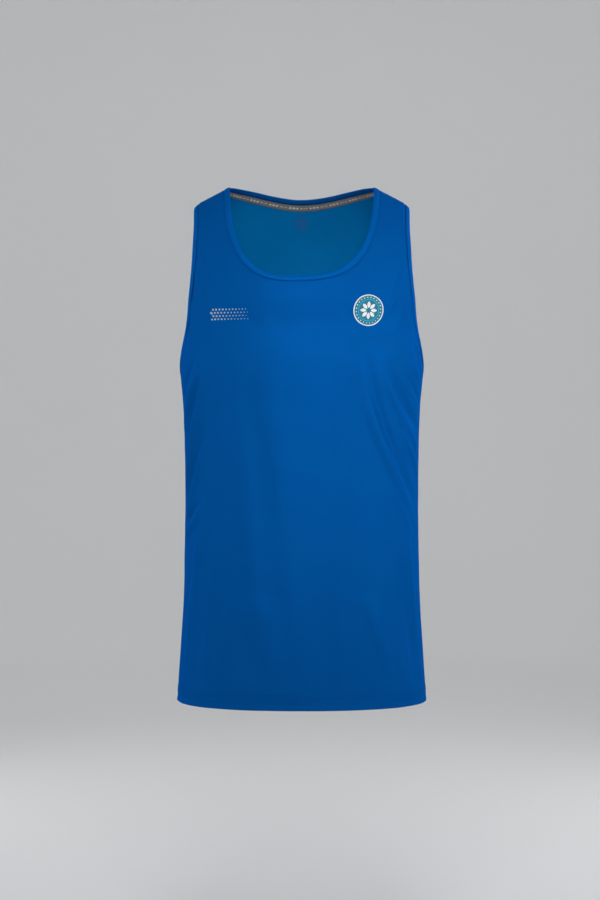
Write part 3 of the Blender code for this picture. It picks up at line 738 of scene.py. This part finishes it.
def knit_material(name, colour, shade, sheen):
    material, tree, shader = new_material(name)
    sideways, lengthways, vector = weave_coordinates(tree)
    height = knit_height(sideways, lengthways)
    grain = knit_grain(sideways, lengthways, vector)
    patches = noise(vector, CLOUD_SCALE, 3) * CLOUD_SHARE + grain * (1 - CLOUD_SHARE)
    # Painted shade: where the knit's height is low, between the loops, it takes the darker colour, mixed
    # with darker random patches.
    factor = height * LOOP_SHARE + patches * (1 - LOOP_SHARE)
    mixed(factor, shade, colour).to(shader.inputs["Base Color"])
    (patches * KNIT_ROUGHENING + KNIT_ROUGHNESS).to(shader.inputs["Roughness"])
    shader.inputs["Metallic"].default_value = GLOSS_SHARE
    shader.inputs["Specular IOR Level"].default_value = 0
    shader.inputs["Specular Tint"].default_value = (*GLOSS_TINT, 1)
    shader.inputs["Sheen Weight"].default_value = sheen
    shader.inputs["Sheen Roughness"].default_value = SHEEN_ROUGHNESS
    shader.inputs["Sheen Tint"].default_value = (*SHEEN_TINT, 1)
    set_bump(shader, height, KNIT_BUMP, KNIT_BUMP_HEIGHT)
    return material


def grained_material(name, colour, roughness, scale, detail, darkest, specular, bump):
    """A thread or a thin printed film: one colour, which fine grain darkens, roughens and lifts."""
    material, tree, shader = new_material(name)
    grain = noise(weave_coordinates(tree)[2], scale, detail)
    mixed(grain, tuple(part * darkest for part in colour), colour).to(shader.inputs["Base Color"])
    (grain * GRAIN_ROUGHENING + roughness).to(shader.inputs["Roughness"])
    shader.inputs["Specular IOR Level"].default_value = specular
    set_bump(shader, grain, bump, GRAIN_HEIGHT)
    return material


def tape_material(name):
    """Grey twill tape, with a chain of small pale lozenges woven along its middle."""
    material, tree, shader = new_material(name)
    along, across, vector = weave_coordinates(tree)
    place = (along / MOTIF_LENGTH).apply("FRACT") * MOTIF_LENGTH
    nearest = None
    for centre, half_length, half_height in MOTIF_MARKS:
        off = abs(place - centre * MOTIF_LENGTH) / half_length + abs(across) / half_height
        nearest = off if nearest is None else nearest.apply("MINIMUM", off)
    shape = (nearest * -MOTIF_CRISPNESS + MOTIF_CRISPNESS).clamped()
    twill = ((along + across) * (2 * math.pi / TWILL)).sine()
    blotch = noise(vector, BLOTCH_SCALE)
    cover = (shape * (blotch * LOZENGE_BLOTCH + LOZENGE_LEAST)).clamped()
    # Painted shade in the twill's grooves, with random blotches, sets how pale the ground is.
    paler = twill * GROUND_TWILL + blotch * GROUND_BLOTCH + GROUND_LEAST
    ground = mixed(paler, TAPE_SHADE, TAPE_GREY)
    mixed(cover, ground, TAPE_PALE).to(shader.inputs["Base Color"])
    (blotch * GRAIN_ROUGHENING + TAPE_ROUGHNESS).to(shader.inputs["Roughness"])
    shader.inputs["Specular IOR Level"].default_value = TAPE_SPECULAR
    shader.inputs["Sheen Weight"].default_value = TAPE_SHEEN
    set_bump(shader, twill, TAPE_BUMP, GRAIN_HEIGHT)
    return material


MATERIALS = {name: knit_material(name, *looks) for name, looks in KNITS.items()}
MATERIALS |= {name: grained_material(name, *looks) for name, looks in GRAINED.items()}
MATERIALS["grey_tape"] = tape_material("grey_tape")


# ------------------------------------------------------------------ making meshes


def add_piece(name, points, faces, weave, materials, which=None):
    """A smooth-shaded mesh that rides on the garment's one body."""
    mesh = bpy.data.meshes.new(name)
    mesh.from_pydata(points.reshape(-1, 3).tolist(), [], faces)
    attribute = mesh.attributes.new("weave", "FLOAT_VECTOR", "POINT")
    weave = np.concatenate([weave.reshape(-1, 2), np.zeros((weave.size // 2, 1))], axis=1)
    attribute.data.foreach_set("vector", weave.astype(np.float32).ravel())
    for material in materials:
        mesh.materials.append(MATERIALS[material])
    if which is not None:
        mesh.polygons.foreach_set("material_index", np.asarray(which, np.int32))
    mesh.shade_smooth()
    mesh.update()
    piece = bpy.data.objects.new(name, mesh)
    bpy.context.scene.collection.objects.link(piece)
    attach(piece, "root")
    return piece


def circle(sides):
    turn = np.linspace(0, 2 * math.pi, sides, endpoint=False)
    return np.stack([np.cos(turn), np.sin(turn)], axis=1)


def grid_faces(rows, columns, start=0):
    a = start + (np.arange(rows - 1)[:, None] * columns + np.arange(columns - 1)).ravel()
    return np.stack([a, a + columns, a + columns + 1, a + 1], axis=1)


def fan_faces(sides):
    """Triangles from a circle of points to the point after it."""
    return [[i, (i + 1) % sides, sides] for i in range(sides)]


def circle_faces(start, sides):
    """Faces from a circle of points to the circle after it."""
    i = np.arange(sides)
    j = (i + 1) % sides
    return (start + np.stack([i, j, j + sides, i + sides], axis=1)).tolist()


def ring_faces(count, sides, closed):
    """Faces between neighbouring rings, and across both ends unless the rings close up."""
    ring = np.arange(count if closed else count - 1)[:, None] * sides
    following = (ring + sides) % (count * sides)
    i, j = np.arange(sides), (np.arange(sides) + 1) % sides
    faces = np.stack([ring + i, ring + j, following + j, following + i], axis=-1).reshape(-1, 4)
    faces = faces.tolist()
    if not closed:
        faces.append(list(range(sides))[::-1])
        faces.append(list(range((count - 1) * sides, count * sides)))
    return faces


# ------------------------------------------------------------------ the panels


def panel_grid(side):
    """across and up of a panel's points, and its faces: the yoke, then the level rows to the hem."""
    yoke_across, yoke_up = from_flat(fine_yoke(side))
    rows, columns = yoke_across.shape
    foot = slice(*np.searchsorted(COLUMN_STOPS, FOOT_COLUMNS) + (0, 1))
    width = foot.stop - foot.start
    levels = body_levels() - UNDERARM
    across = np.concatenate([yoke_across.ravel(), np.tile(yoke_across[-1, foot], len(levels))])
    up = np.concatenate([yoke_up.ravel(), np.repeat(levels, width)])
    last = (rows - 1) * columns + foot.start + np.arange(width)
    first = rows * columns + np.arange(width)
    join = np.stack([last[:-1], first[:-1], first[1:], last[1:]], axis=1)
    body = grid_faces(len(levels), width, rows * columns)
    faces = np.concatenate([grid_faces(rows, columns), join, body])
    return across, up, faces if side == FRONT else faces[:, ::-1]


def rim_of(faces):
    """The edges that only one face uses, in its order."""
    ends = np.stack([faces, np.roll(faces, -1, axis=1)], axis=-1).reshape(-1, 2)
    keys = np.sort(ends, axis=1)
    _, first, uses = np.unique(keys, axis=0, return_index=True, return_counts=True)
    return ends[first[uses == 1]]


def add_panel(name, node, side):
    """A thin shell: its outer face with all relief, its inner face, and the rim between them."""
    across, up, faces = panel_grid(side)
    face, normals = cloth(side, across, up)
    above = face[:, 2] - HEM
    relief = hem_relief(above, across * HALF_PANEL * side)
    for line, allowance, stitched in seam_lines(side):
        relief += seam_relief(*nearest_on(line, face), allowance, stitched)
    turned = 1 - fade((above - HEM_TURN) / INNER_STEP_SPAN + 1)
    outer = face + normals * relief[:, None]
    inner = face - normals * (CLOTH * (1 + turned) - hem_rounding(above))[:, None]
    rim = rim_of(faces)
    count = len(face)
    closing = np.stack([rim[:, 1], rim[:, 0], rim[:, 0] + count, rim[:, 1] + count], axis=1)
    everything = np.concatenate([faces, faces[:, ::-1] + count, closing])
    which = np.repeat([0, 1, 0], [len(faces), len(faces), len(closing)])
    points, weave = np.concatenate([outer, inner]), np.tile(flat(across, up), (2, 1))
    # The inner face takes the reverse knit, made lighter as painted light.
    looks = ["panel_knit", "panel_knit_reverse"]
    piece = add_piece(name, points, everything.tolist(), weave, looks, which)
    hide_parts(node)
    corners = outer[faces]
    crossed = np.cross(corners[:, 2] - corners[:, 0], corners[:, 3] - corners[:, 1])
    return piece, float(np.linalg.norm(crossed, axis=1).sum() / 2)


# ------------------------------------------------------------------ the bindings

BINDING_WIDTH = 0.0075
BINDING_LAP = 0.0004  # how far it laps over the panel's edge
BINDING_HALF = 0.00098  # half of its thickness at the fold, from middle to face
BINDING_FOOT, BINDING_FOOT_REACH = 0.78, 0.625  # the share of that at its foot, and how far up
BINDING_CLOTH = 0.00050
BINDING_BOX, BINDING_CURVE = 5.0, 0.8  # how square its folded edge is, and how curved its faces
BINDING_TURNS = np.radians((90, 86, 80, 72, 60, 45, 28, 12))
SWELL_RISE, SWELL_PACE, SWELL_SHIFT = 0.05, 240, ((2.0, 53, 0),)  # it is uneven along its length
SWELL_DRIFT = ((0.04, 91, 1),)
ROLL = {FRONT: math.radians(14), BACK: math.radians(4)}
ROLL_FROM, ROLL_FULL = 0.45, 0.95
NECK_RINGS, ARMHOLE_RINGS = 260, 210  # on each panel
ARMHOLE_POINTS = 96


def binding_profile():
    """The section of a strip folded over the panel's edge: (into the opening, outwards)."""
    turns = np.concatenate([BINDING_TURNS, [0], -BINDING_TURNS[::-1]])
    reach = np.clip(np.cos(turns), 0, 1) ** (2 / BINDING_BOX)
    half = BINDING_HALF * (BINDING_FOOT + (1 - BINDING_FOOT) * fade(reach / BINDING_FOOT_REACH))
    out = np.sign(turns) * np.abs(np.sin(turns)) ** BINDING_CURVE * half
    middle = np.stack([reach * (BINDING_WIDTH + BINDING_LAP) - BINDING_LAP, out], axis=1)
    along = unit(np.gradient(middle, axis=0))
    sideways = np.stack([-along[:, 1], along[:, 0]], axis=1) * BINDING_CLOTH / 2
    return np.concatenate([middle + sideways, (middle - sideways)[::-1]])


def armhole_line(side):
    return armhole_seam(side, ARMHOLE_POINTS)


def seam_loop(line_of, rings):
    """The closed seam line round an opening, front then back, with the directions out of the cloth
    and into the opening."""
    shares = np.linspace(0, 1, rings + 1)
    sides = [cloth(side, *spaced(side, *line_of(side), shares)) for side in (FRONT, BACK)]
    loop = []
    for ahead, behind in zip(*sides):
        ends = (ahead[[0, -1]] + behind[[0, -1]]) / 2
        loop.append(np.concatenate([ends[:1], ahead[1:-1], ends[1:], behind[-2:0:-1]]))
    seam, normals = loop
    along = unit(np.roll(seam, -1, axis=0) - np.roll(seam, 1, axis=0))
    normals = unit(normals - along * np.sum(along * normals, axis=1, keepdims=True))
    return seam, normals, np.cross(normals, along)


def closed_length(loop):
    """The distance along a closed line to each of its points and back to the first."""
    return length_along(np.concatenate([loop, loop[:1]]))


def add_binding(name, node, line_of, rings, leans=False, mirrored=False):
    """A strip folded over the cloth's edge all round an opening. Where it leans, it rolls inwards."""
    seam, normals, into = seam_loop(line_of, rings)
    steepness = np.clip((into[:, 2] - ROLL_FROM) / (ROLL_FULL - ROLL_FROM), 0, 1) ** 2
    roll = leans * np.where(seam[:, 1] < 0, ROLL[FRONT], ROLL[BACK]) * steepness
    cosine, sine = np.cos(roll)[:, None], np.sin(roll)[:, None]
    reach = into * cosine - normals * sine
    rise = normals * cosine + into * sine
    profile = binding_profile()
    length = closed_length(seam)
    along = length[:-1]
    swell = 1 + SWELL_RISE * np.sin(along * SWELL_PACE + wander(along, SWELL_SHIFT))
    swell += wander(along, SWELL_DRIFT)
    foot = seam - normals * CLOTH / 2
    points = foot[:, None] + reach[:, None] * profile[None, :, :1]
    points = points + rise[:, None] * (profile[None, :, 1:] * swell[:, None, None])
    weave = np.stack(np.broadcast_arrays(length_along(profile)[None, :], along[:, None]), axis=-1)
    faces = ring_faces(len(points), len(profile), closed=True)
    if mirrored:
        points = points * MIRROR
    else:
        faces = [face[::-1] for face in faces]
    strip = np.tile(np.arange(len(profile)) // len(BINDING_TURNS), len(points))
    # The inner leg takes a darker copy of the knit, as painted shade.
    looks = ["binding_knit", "binding_knit_inside_shaded"]
    piece = add_piece(name, points, faces, weave, looks, strip == 1)
    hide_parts(node)
    return piece, length[-1]


# ------------------------------------------------------------------ stitches

STITCH, STITCH_GAP, THREAD_RADIUS = 0.0022, 0.0008, 0.00019
STITCH_RINGS = (
    # part of its length, radius, height over the cloth
    (0.00, 0.50, -0.00018),
    (0.15, 0.95, 0.00002),
    (0.50, 1.00, 0.00009),
    (0.85, 0.95, 0.00002),
    (1.00, 0.50, -0.00018),
)
THREAD_SIDES = 6
RING_SHIFT, SIDE_SHIFT, STITCH_SHIFT = 0.0005, 0.0003, 0.01  # through the thread's grain
ALLOWANCE_SHARE = 0.6  # how far the topstitching sits up on the allowance
LEVEL_POINTS = 360


def on_loop(points, length, at):
    """Values at these distances along a closed line."""
    closed = np.concatenate([points, points[:1]])
    return np.stack([np.interp(at % length[-1], length, closed[:, i]) for i in range(3)], axis=1)


def stitch_row(line, normals):
    """Stitches evenly along a closed line, each a small tube: points, faces and weave."""
    length = closed_length(line)
    count = int(length[-1] / (STITCH + STITCH_GAP))
    at = np.arange(count) * length[-1] / count
    starts, ends = on_loop(line, length, at), on_loop(line, length, at + STITCH)
    out = unit(on_loop(normals, length, at + STITCH / 2))
    sideways = unit(np.cross(unit(ends - starts), out))
    turn = circle(THREAD_SIDES)
    tubes = []
    for part, radius, lift in STITCH_RINGS:
        centre = starts + (ends - starts) * part + out * lift
        section = sideways[:, None] * turn[:, :1] + out[:, None] * turn[:, 1:]
        tubes.append(centre[:, None] + section * radius * THREAD_RADIUS)
    points = np.stack(tubes, axis=1)
    one = ring_faces(len(STITCH_RINGS), THREAD_SIDES, closed=False)
    size = len(STITCH_RINGS) * THREAD_SIDES
    faces = [[i + size * n for i in face] for n in range(count) for face in one]
    weave = np.zeros(points.shape[:-1] + (2,))
    rings, stitches = np.arange(len(STITCH_RINGS)) * RING_SHIFT, np.arange(count) * STITCH_SHIFT
    weave[..., 0] = rings[None, :, None] + stitches[:, None, None]
    weave[..., 1] = np.arange(THREAD_SIDES) * SIDE_SHIFT
    return points, faces, weave


def add_stitches(name, rows):
    points, faces, weave, count = [], [], [], 0
    for row_points, row_faces, row_weave in rows:
        points.append(row_points.reshape(-1, 3))
        weave.append(row_weave.reshape(-1, 2))
        faces += [[i + count for i in face] for face in row_faces]
        count += len(points[-1])
    return add_piece(name, np.concatenate(points), faces, np.concatenate(weave), ["blue_thread"])


def level_loop(height, lift):
    """A level line round the garment on its outer face, lifted off it."""
    across = np.linspace(-1, 1, LEVEL_POINTS)
    up = np.full_like(across, height - UNDERARM)
    front, front_normals = cloth(FRONT, across, up)
    back, back_normals = cloth(BACK, across, up)
    line = np.concatenate([front, back[-2:0:-1]])
    normals = np.concatenate([front_normals, back_normals[-2:0:-1]])
    return line + normals * lift, normals


def add_seam_stitches(name, line_of, rings, mirrored=False):
    """The topstitching round an opening, on the allowance beside its seam."""
    seam, normals, into = seam_loop(line_of, rings)
    line = seam - into * STITCH_LINE + normals * ALLOWANCE_RISE * ALLOWANCE_SHARE
    if mirrored:
        line, normals = line * MIRROR, normals * MIRROR
    return add_stitches(name, [stitch_row(line, normals)])


# ------------------------------------------------------------------ the neck tape

TAPE_MARGIN, TAPE_WIDTH, TAPE_THICKNESS = 0.0004, 0.0100, 0.00045
TAPE_GAP = 0.00005  # between it and the back's inner face
TAPE_COLUMNS, TAPE_ROWS = 240, 9
TAPE_END, TAPE_END_SHARE = 0.024, 0.35  # over this length its ends narrow to this share
TAPE_EDGE_SHARE, TAPE_EDGE_POWER = 0.25, 12  # how thin its edges are, and how abruptly they thin


def add_tape():
    """A tape on the inside of the back, just below the neck seam, from shoulder to shoulder."""
    stops = np.linspace(0, COLUMN_COUNT, TAPE_COLUMNS)
    near, far = (smooth_through(row, stops) for row in COARSE_YOKE[BACK][:2])
    from_start = length_along(form(BACK, *from_flat(near)))
    from_end = np.minimum(from_start, from_start[-1] - from_start)
    width = TAPE_WIDTH * (TAPE_END_SHARE + (1 - TAPE_END_SHARE) * fade(from_end / TAPE_END))
    parts = (TAPE_MARGIN + width[:, None] * np.linspace(0, 1, TAPE_ROWS)) / FIRST_ROW
    place = near[:, None] * (1 - parts[..., None]) + far[:, None] * parts[..., None]
    outer, normals = cloth(BACK, *from_flat(place))
    across = np.linspace(-1, 1, TAPE_ROWS)
    edge = np.sqrt(np.clip(1 - np.abs(across) ** TAPE_EDGE_POWER, 0, 1))
    thickness = TAPE_THICKNESS * (TAPE_EDGE_SHARE + (1 - TAPE_EDGE_SHARE) * edge)
    lower = outer - normals * (CLOTH + TAPE_GAP)
    upper = lower - normals * thickness[:, None]
    rings = np.concatenate([lower, upper[:, ::-1]], axis=1)
    length = length_along(outer[:, TAPE_ROWS // 2])
    sideways = across * width[:, None] / 2
    sideways = np.concatenate([sideways, sideways[:, ::-1]], axis=1)
    weave = np.stack(np.broadcast_arrays(length[:, None], sideways), axis=-1)
    faces = ring_faces(len(rings), 2 * TAPE_ROWS, closed=False)
    piece = add_piece("woven_neck_tape", rings, faces, weave, ["grey_tape"])
    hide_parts("neck_tape")


# ------------------------------------------------------------------ prints

DOTS_CENTRE = (-0.0997, -0.1856)
DOTS_SIZE = (0.0500, 0.0130)
DOT_COLUMNS, DOT_ROWS, DOT_SIDES = 12, 4, 12
DOT_RADIUS, DOT_SHRINK = 0.00185, 0.5
DOT_RIM_LIFT, DOT_LIFT = -0.00004, 0.00018

BADGE_CENTRE = (0.0915, -0.1808)
BADGE_RADIUS = 0.0212
BADGE_SIDES = 72
BADGE_LOOKS = ["white_print", "teal_print", "bright_teal_print"]
FACE_LIFT, CREST_LIFT = 0.00026, 0.00042  # of its face, and of the middle of what stands on that
BADGE_RINGS = (
    # from the rim inwards: radius as a share, lift, look from here to the next ring
    (1.000, -0.00005, 0),
    (0.995, 0.00030, 0),
    (0.930, 0.00034, 1),
    (0.925, FACE_LIFT, 1),
    (0.700, FACE_LIFT, 2),
    (0.695, 0.00032, 2),
    (0.650, 0.00032, 1),
    (0.645, FACE_LIFT, 1),
    (0.420, FACE_LIFT, 1),
    (0.200, FACE_LIFT, 1),
    (0.020, FACE_LIFT, 1),
)
PETALS, PETAL_FROM, PETAL_TO = 8, 0.14, 0.56
PETAL_HALF, PETAL_TIP, PETAL_CURVE = 0.105, 0.004, 0.8
PETAL_STEPS, PETAL_EDGE_LIFT = 9, 0.00030
BEADS, BEAD_RING, BEAD_RADIUS, BEAD_SIDES = 24, 0.812, 0.036, 10

MARK_DROP = 0.0257  # from the neck seam down to the middle of the mark inside the back
MARK_RINGS = (0.0120, 0.0106, 0.0080, 0.0)  # radii: a rim, a gap and a disc
MARK_SIDES = 48
MARK_LIFT = 0.00012


class ChestPrint:
    """A print on the chest, put together from flat shapes in front view."""

    def __init__(self, centre, scale=1):
        self.centre = np.array(centre)
        self.scale = scale
        self.places, self.lifts, self.faces, self.which = [], [], [], []

    def add(self, places, lifts, faces, which):
        """One shape, whose faces count from its own first point."""
        start = sum(len(shape) for shape in self.places)
        self.places.append(self.centre + places * self.scale)
        self.lifts.append(lifts)
        self.faces += [[start + i for i in face] for face in faces]
        self.which += which

    def finish(self, name, looks):
        places = np.concatenate(self.places)
        points, normals = cloth(FRONT, *place_in_front_view(*places.T))
        points = points + normals * np.concatenate(self.lifts)[:, None]
        return add_piece(name, points, self.faces, places, looks, self.which)


def add_dots():
    """A small field of silver reflective dots that shrink towards the garment's middle."""
    made = ChestPrint(DOTS_CENTRE)
    rim = np.append(circle(DOT_SIDES), [[0, 0]], axis=0)
    lifts = [DOT_RIM_LIFT] * DOT_SIDES + [DOT_LIFT]
    for row in range(DOT_ROWS):
        for column in range(DOT_COLUMNS - row % 2):
            share = (column + 0.5 * (row % 2)) / (DOT_COLUMNS - 1)
            middle = np.array([share - 0.5, row / (DOT_ROWS - 1) - 0.5]) * DOTS_SIZE
            radius = DOT_RADIUS * (1 - DOT_SHRINK * share)
            made.add(middle + rim * radius, lifts, fan_faces(DOT_SIDES), [0] * DOT_SIDES)
    return made.finish("reflective_dots", ["silver_print"])


def add_badge():
    """A round badge: a white rim, a ring of white beads, a bright ring and an eight-petalled rosette."""
    made = ChestPrint(BADGE_CENTRE, BADGE_RADIUS)
    radii, lifts, looks = (np.array(column) for column in zip(*BADGE_RINGS))
    faces = []
    for ring in range(len(radii) - 1):
        faces += circle_faces(ring * BADGE_SIDES, BADGE_SIDES)
    faces.append(list(range((len(radii) - 1) * BADGE_SIDES, len(radii) * BADGE_SIDES)))
    which = np.repeat(looks, [BADGE_SIDES] * (len(radii) - 1) + [1]).tolist()
    rings = (radii[:, None, None] * circle(BADGE_SIDES)).reshape(-1, 2)
    made.add(rings, np.repeat(lifts, BADGE_SIDES), faces, which)

    steps = np.linspace(0, 1, PETAL_STEPS)[:, None]
    reach = PETAL_FROM + (PETAL_TO - PETAL_FROM) * steps
    half = PETAL_HALF * np.sin(math.pi * steps) ** PETAL_CURVE + PETAL_TIP
    lifts = np.repeat([PETAL_EDGE_LIFT, CREST_LIFT, PETAL_EDGE_LIFT], PETAL_STEPS)
    faces = grid_faces(3, PETAL_STEPS)[:, ::-1].tolist()
    for petal in range(PETALS):
        angle = 2 * math.pi * petal / PETALS + math.pi / 2
        ahead = np.array([math.cos(angle), math.sin(angle)])
        sideways = np.array([-ahead[1], ahead[0]])
        lines = [ahead * reach + sideways * half * part for part in (-1, 0, 1)]
        made.add(np.concatenate(lines), lifts, faces, [0] * len(faces))

    rim = np.append(circle(BEAD_SIDES), [[0, 0]], axis=0) * BEAD_RADIUS
    lifts = [FACE_LIFT] * BEAD_SIDES + [CREST_LIFT]
    for bead in range(BEADS):
        angle = 2 * math.pi * (bead + 0.5) / BEADS
        middle = BEAD_RING * np.array([math.cos(angle), math.sin(angle)])
        made.add(middle + rim, lifts, fan_faces(BEAD_SIDES), [0] * BEAD_SIDES)
    return made.finish("round_badge", BADGE_LOOKS)


def add_mark():
    """A plain round mark inside the back, in the cloth's own colour: a ring round a disc."""
    across, up = neck_seam(BACK)
    middle = form(BACK, across[len(across) // 2], up[len(up) // 2])[2] - MARK_DROP
    points, faces = [], []
    for radii in (MARK_RINGS[:2], MARK_RINGS[2:]):
        faces += circle_faces(len(points) * MARK_SIDES, MARK_SIDES)
        for radius in radii:
            x, z = radius * circle(MARK_SIDES).T
            on_cloth, normals = cloth(BACK, *place_in_front_view(x, middle + z))
            points.append(on_cloth - normals * (CLOTH + MARK_LIFT))
    points = np.concatenate(points)
    return add_piece("inside_mark", points, faces, points[:, [0, 2]], ["mark_print"])


# ------------------------------------------------------------------ the garment

ARMHOLES = (("left", False), ("right", True))  # the right ones are the left's mirror images

front, front_area = add_panel("front_panel", "front", FRONT)
back, back_area = add_panel("back_panel", "back", BACK)
neck_binding, neck_length = add_binding("neck_binding", "neck_band", neck_seam, NECK_RINGS, leans=True)
for hand, mirrored in ARMHOLES:
    name, node = f"{hand}_armhole_binding", f"armhole_band_{hand}"
    add_binding(name, node, armhole_line, ARMHOLE_RINGS, mirrored=mirrored)
add_tape()

hem_rows = [stitch_row(*level_loop(HEM + line, HEM_STEP_RISE)) for line in HEM_LINES]
hem_stitches = add_stitches("hem_stitches", hem_rows)
neck_stitches = add_seam_stitches("neck_stitches", neck_seam, NECK_RINGS)
armhole_stitches = [
    add_seam_stitches(f"{hand}_armhole_stitches", armhole_line, ARMHOLE_RINGS, mirrored)
    for hand, mirrored in ARMHOLES
]
dots, badge, mark = add_dots(), add_badge(), add_mark()

# ------------------------------------------------------------------ studio

FLOOR = -1.05
SWEEP = (
    # radius, height over the floor
    (0.0, 0.0),
    (2.6, 0.0),
    (3.4, 0.10),
    (4.1, 0.45),
    (4.6, 1.10),
    (4.8, 2.00),
    (4.8, 4.20),
)
SWEEP_SIDES, SWEEP_RINGS = 64, 40
SWEEP_COLOUR, SWEEP_ROUGHNESS = (0.72, 0.73, 0.74), 0.9

CHEST = (0.0, 0.0, -0.30)
SPOT_DISTANCE, SPOT_SOFTNESS = 1.7, 0.25
SPOTS = (
    # azimuth, elevation, aim, angle, watts
    ("centre_spot", 0, 10, (0.05, 0.0, -0.33), 24, 33),
    ("chest_spot", 16, 20, (0.04, 0.0, -0.28), 32, 4.5),
    ("raking_spot", 50, 15, (0.04, 0.0, -0.31), 32, 16),
)
SOFT_BOXES = (
    # azimuth, elevation, distance, size, watts
    ("key_light", 0, 45, 1.45, (0.7, 0.5), 6.2),
    ("slant_left", -62, 15, 1.7, (0.4, 1.2), 1.3),
    ("slant_right", 62, 15, 1.7, (0.4, 1.2), 4.4),
    ("side_left", -85, 10, 1.7, (0.6, 1.2), 3.2),
    ("side_right", 85, 10, 1.7, (0.6, 1.2), 1.6),
    ("rim_left", -125, 8, 1.7, (0.5, 1.4), 4.2),
    ("rim_right", 125, 8, 1.7, (0.5, 1.4), 3.2),
    ("back_light", 128, 28, 1.7, (0.5, 0.7), 7.0),
    ("back_fill", -160, 20, 1.7, (0.8, 0.8), 2.5),
)
# Washers hang round the garment and light the sweep beyond them.
WASHERS, WASHER_SIZE, WASHER_WATTS = 6, (1.6, 0.5), 20
WASHER_REACH, WASHER_HEIGHT = 2.2, 1.9
WASHER_AIM_REACH, WASHER_AIM_HEIGHT = 4.8, -0.6
WORLD_LIGHT = 0.2
CAMERA_PLACE, CAMERA_LENS = (-0.0025, -2.6, -0.3708), 73.5


def link(name, data):
    holder = bpy.data.objects.new(name, data)
    bpy.context.scene.collection.objects.link(holder)
    return holder


def add_sweep():
    """A pale floor that curves up all round."""
    profile = smooth_through(np.array(SWEEP), np.linspace(0, len(SWEEP) - 1, SWEEP_RINGS))[1:]
    turn = circle(SWEEP_SIDES)
    points = [(*(radius * place), FLOOR + height) for radius, height in profile for place in turn]
    faces = [list(range(SWEEP_SIDES))]
    for ring in range(len(profile) - 1):
        faces += [face[::-1] for face in circle_faces(ring * SWEEP_SIDES, SWEEP_SIDES)]
    mesh = bpy.data.meshes.new("studio_sweep")
    mesh.from_pydata(points, [], faces)
    mesh.shade_smooth()
    material, _, shader = new_material("pale_sweep")
    shader.inputs["Base Color"].default_value = (*SWEEP_COLOUR, 1)
    shader.inputs["Roughness"].default_value = SWEEP_ROUGHNESS
    mesh.materials.append(material)
    link("studio_sweep", mesh)


def around(aim, azimuth, elevation, distance):
    """A place seen from aim at this azimuth, 0 being the front and 90 the wearer's left."""
    turn, lift = math.radians(azimuth), math.radians(elevation)
    level = distance * math.cos(lift)
    offset = Vector((level * math.sin(turn), -level * math.cos(turn), distance * math.sin(lift)))
    return Vector(aim) + offset


def add_light(name, kind, watts, place, aim):
    light = bpy.data.lights.new(name, kind)
    light.energy = watts
    holder = link(name, light)
    holder.location = place
    holder.rotation_euler = (Vector(aim) - place).to_track_quat("-Z", "Y").to_euler()
    return light


def add_spot(name, azimuth, elevation, aim, angle, watts):
    light = add_light(name, "SPOT", watts, around(aim, azimuth, elevation, SPOT_DISTANCE), aim)
    light.spot_size = math.radians(angle)
    light.spot_blend = 1.0
    light.shadow_soft_size = SPOT_SOFTNESS


def add_soft_box(name, place, aim, size, watts):
    light = add_light(name, "AREA", watts, place, aim)
    light.shape = "RECTANGLE"
    light.size, light.size_y = size


add_sweep()
for spot in SPOTS:
    add_spot(*spot)
for name, azimuth, elevation, distance, size, watts in SOFT_BOXES:
    add_soft_box(name, around(CHEST, azimuth, elevation, distance), CHEST, size, watts)
for washer in range(WASHERS):
    azimuth = 360 * washer / WASHERS
    place = around((0, 0, WASHER_HEIGHT), azimuth, 0, WASHER_REACH)
    aim = around((0, 0, WASHER_AIM_HEIGHT), azimuth, 0, WASHER_AIM_REACH)
    add_soft_box(f"sweep_light_{washer}", place, aim, WASHER_SIZE, WASHER_WATTS)

world = bpy.data.worlds.new("studio")
bpy.context.scene.world = world
world.use_nodes = True
world.node_tree.nodes["Background"].inputs["Color"].default_value = (1, 1, 1, 1)
world.node_tree.nodes["Background"].inputs["Strength"].default_value = WORLD_LIGHT
bpy.context.scene.view_settings.view_transform = "Standard"

camera = link("camera", bpy.data.cameras.new("camera"))
camera.location = CAMERA_PLACE
camera.rotation_euler = (math.pi / 2, 0, 0)
camera.data.lens = CAMERA_LENS
bpy.context.scene.camera = camera
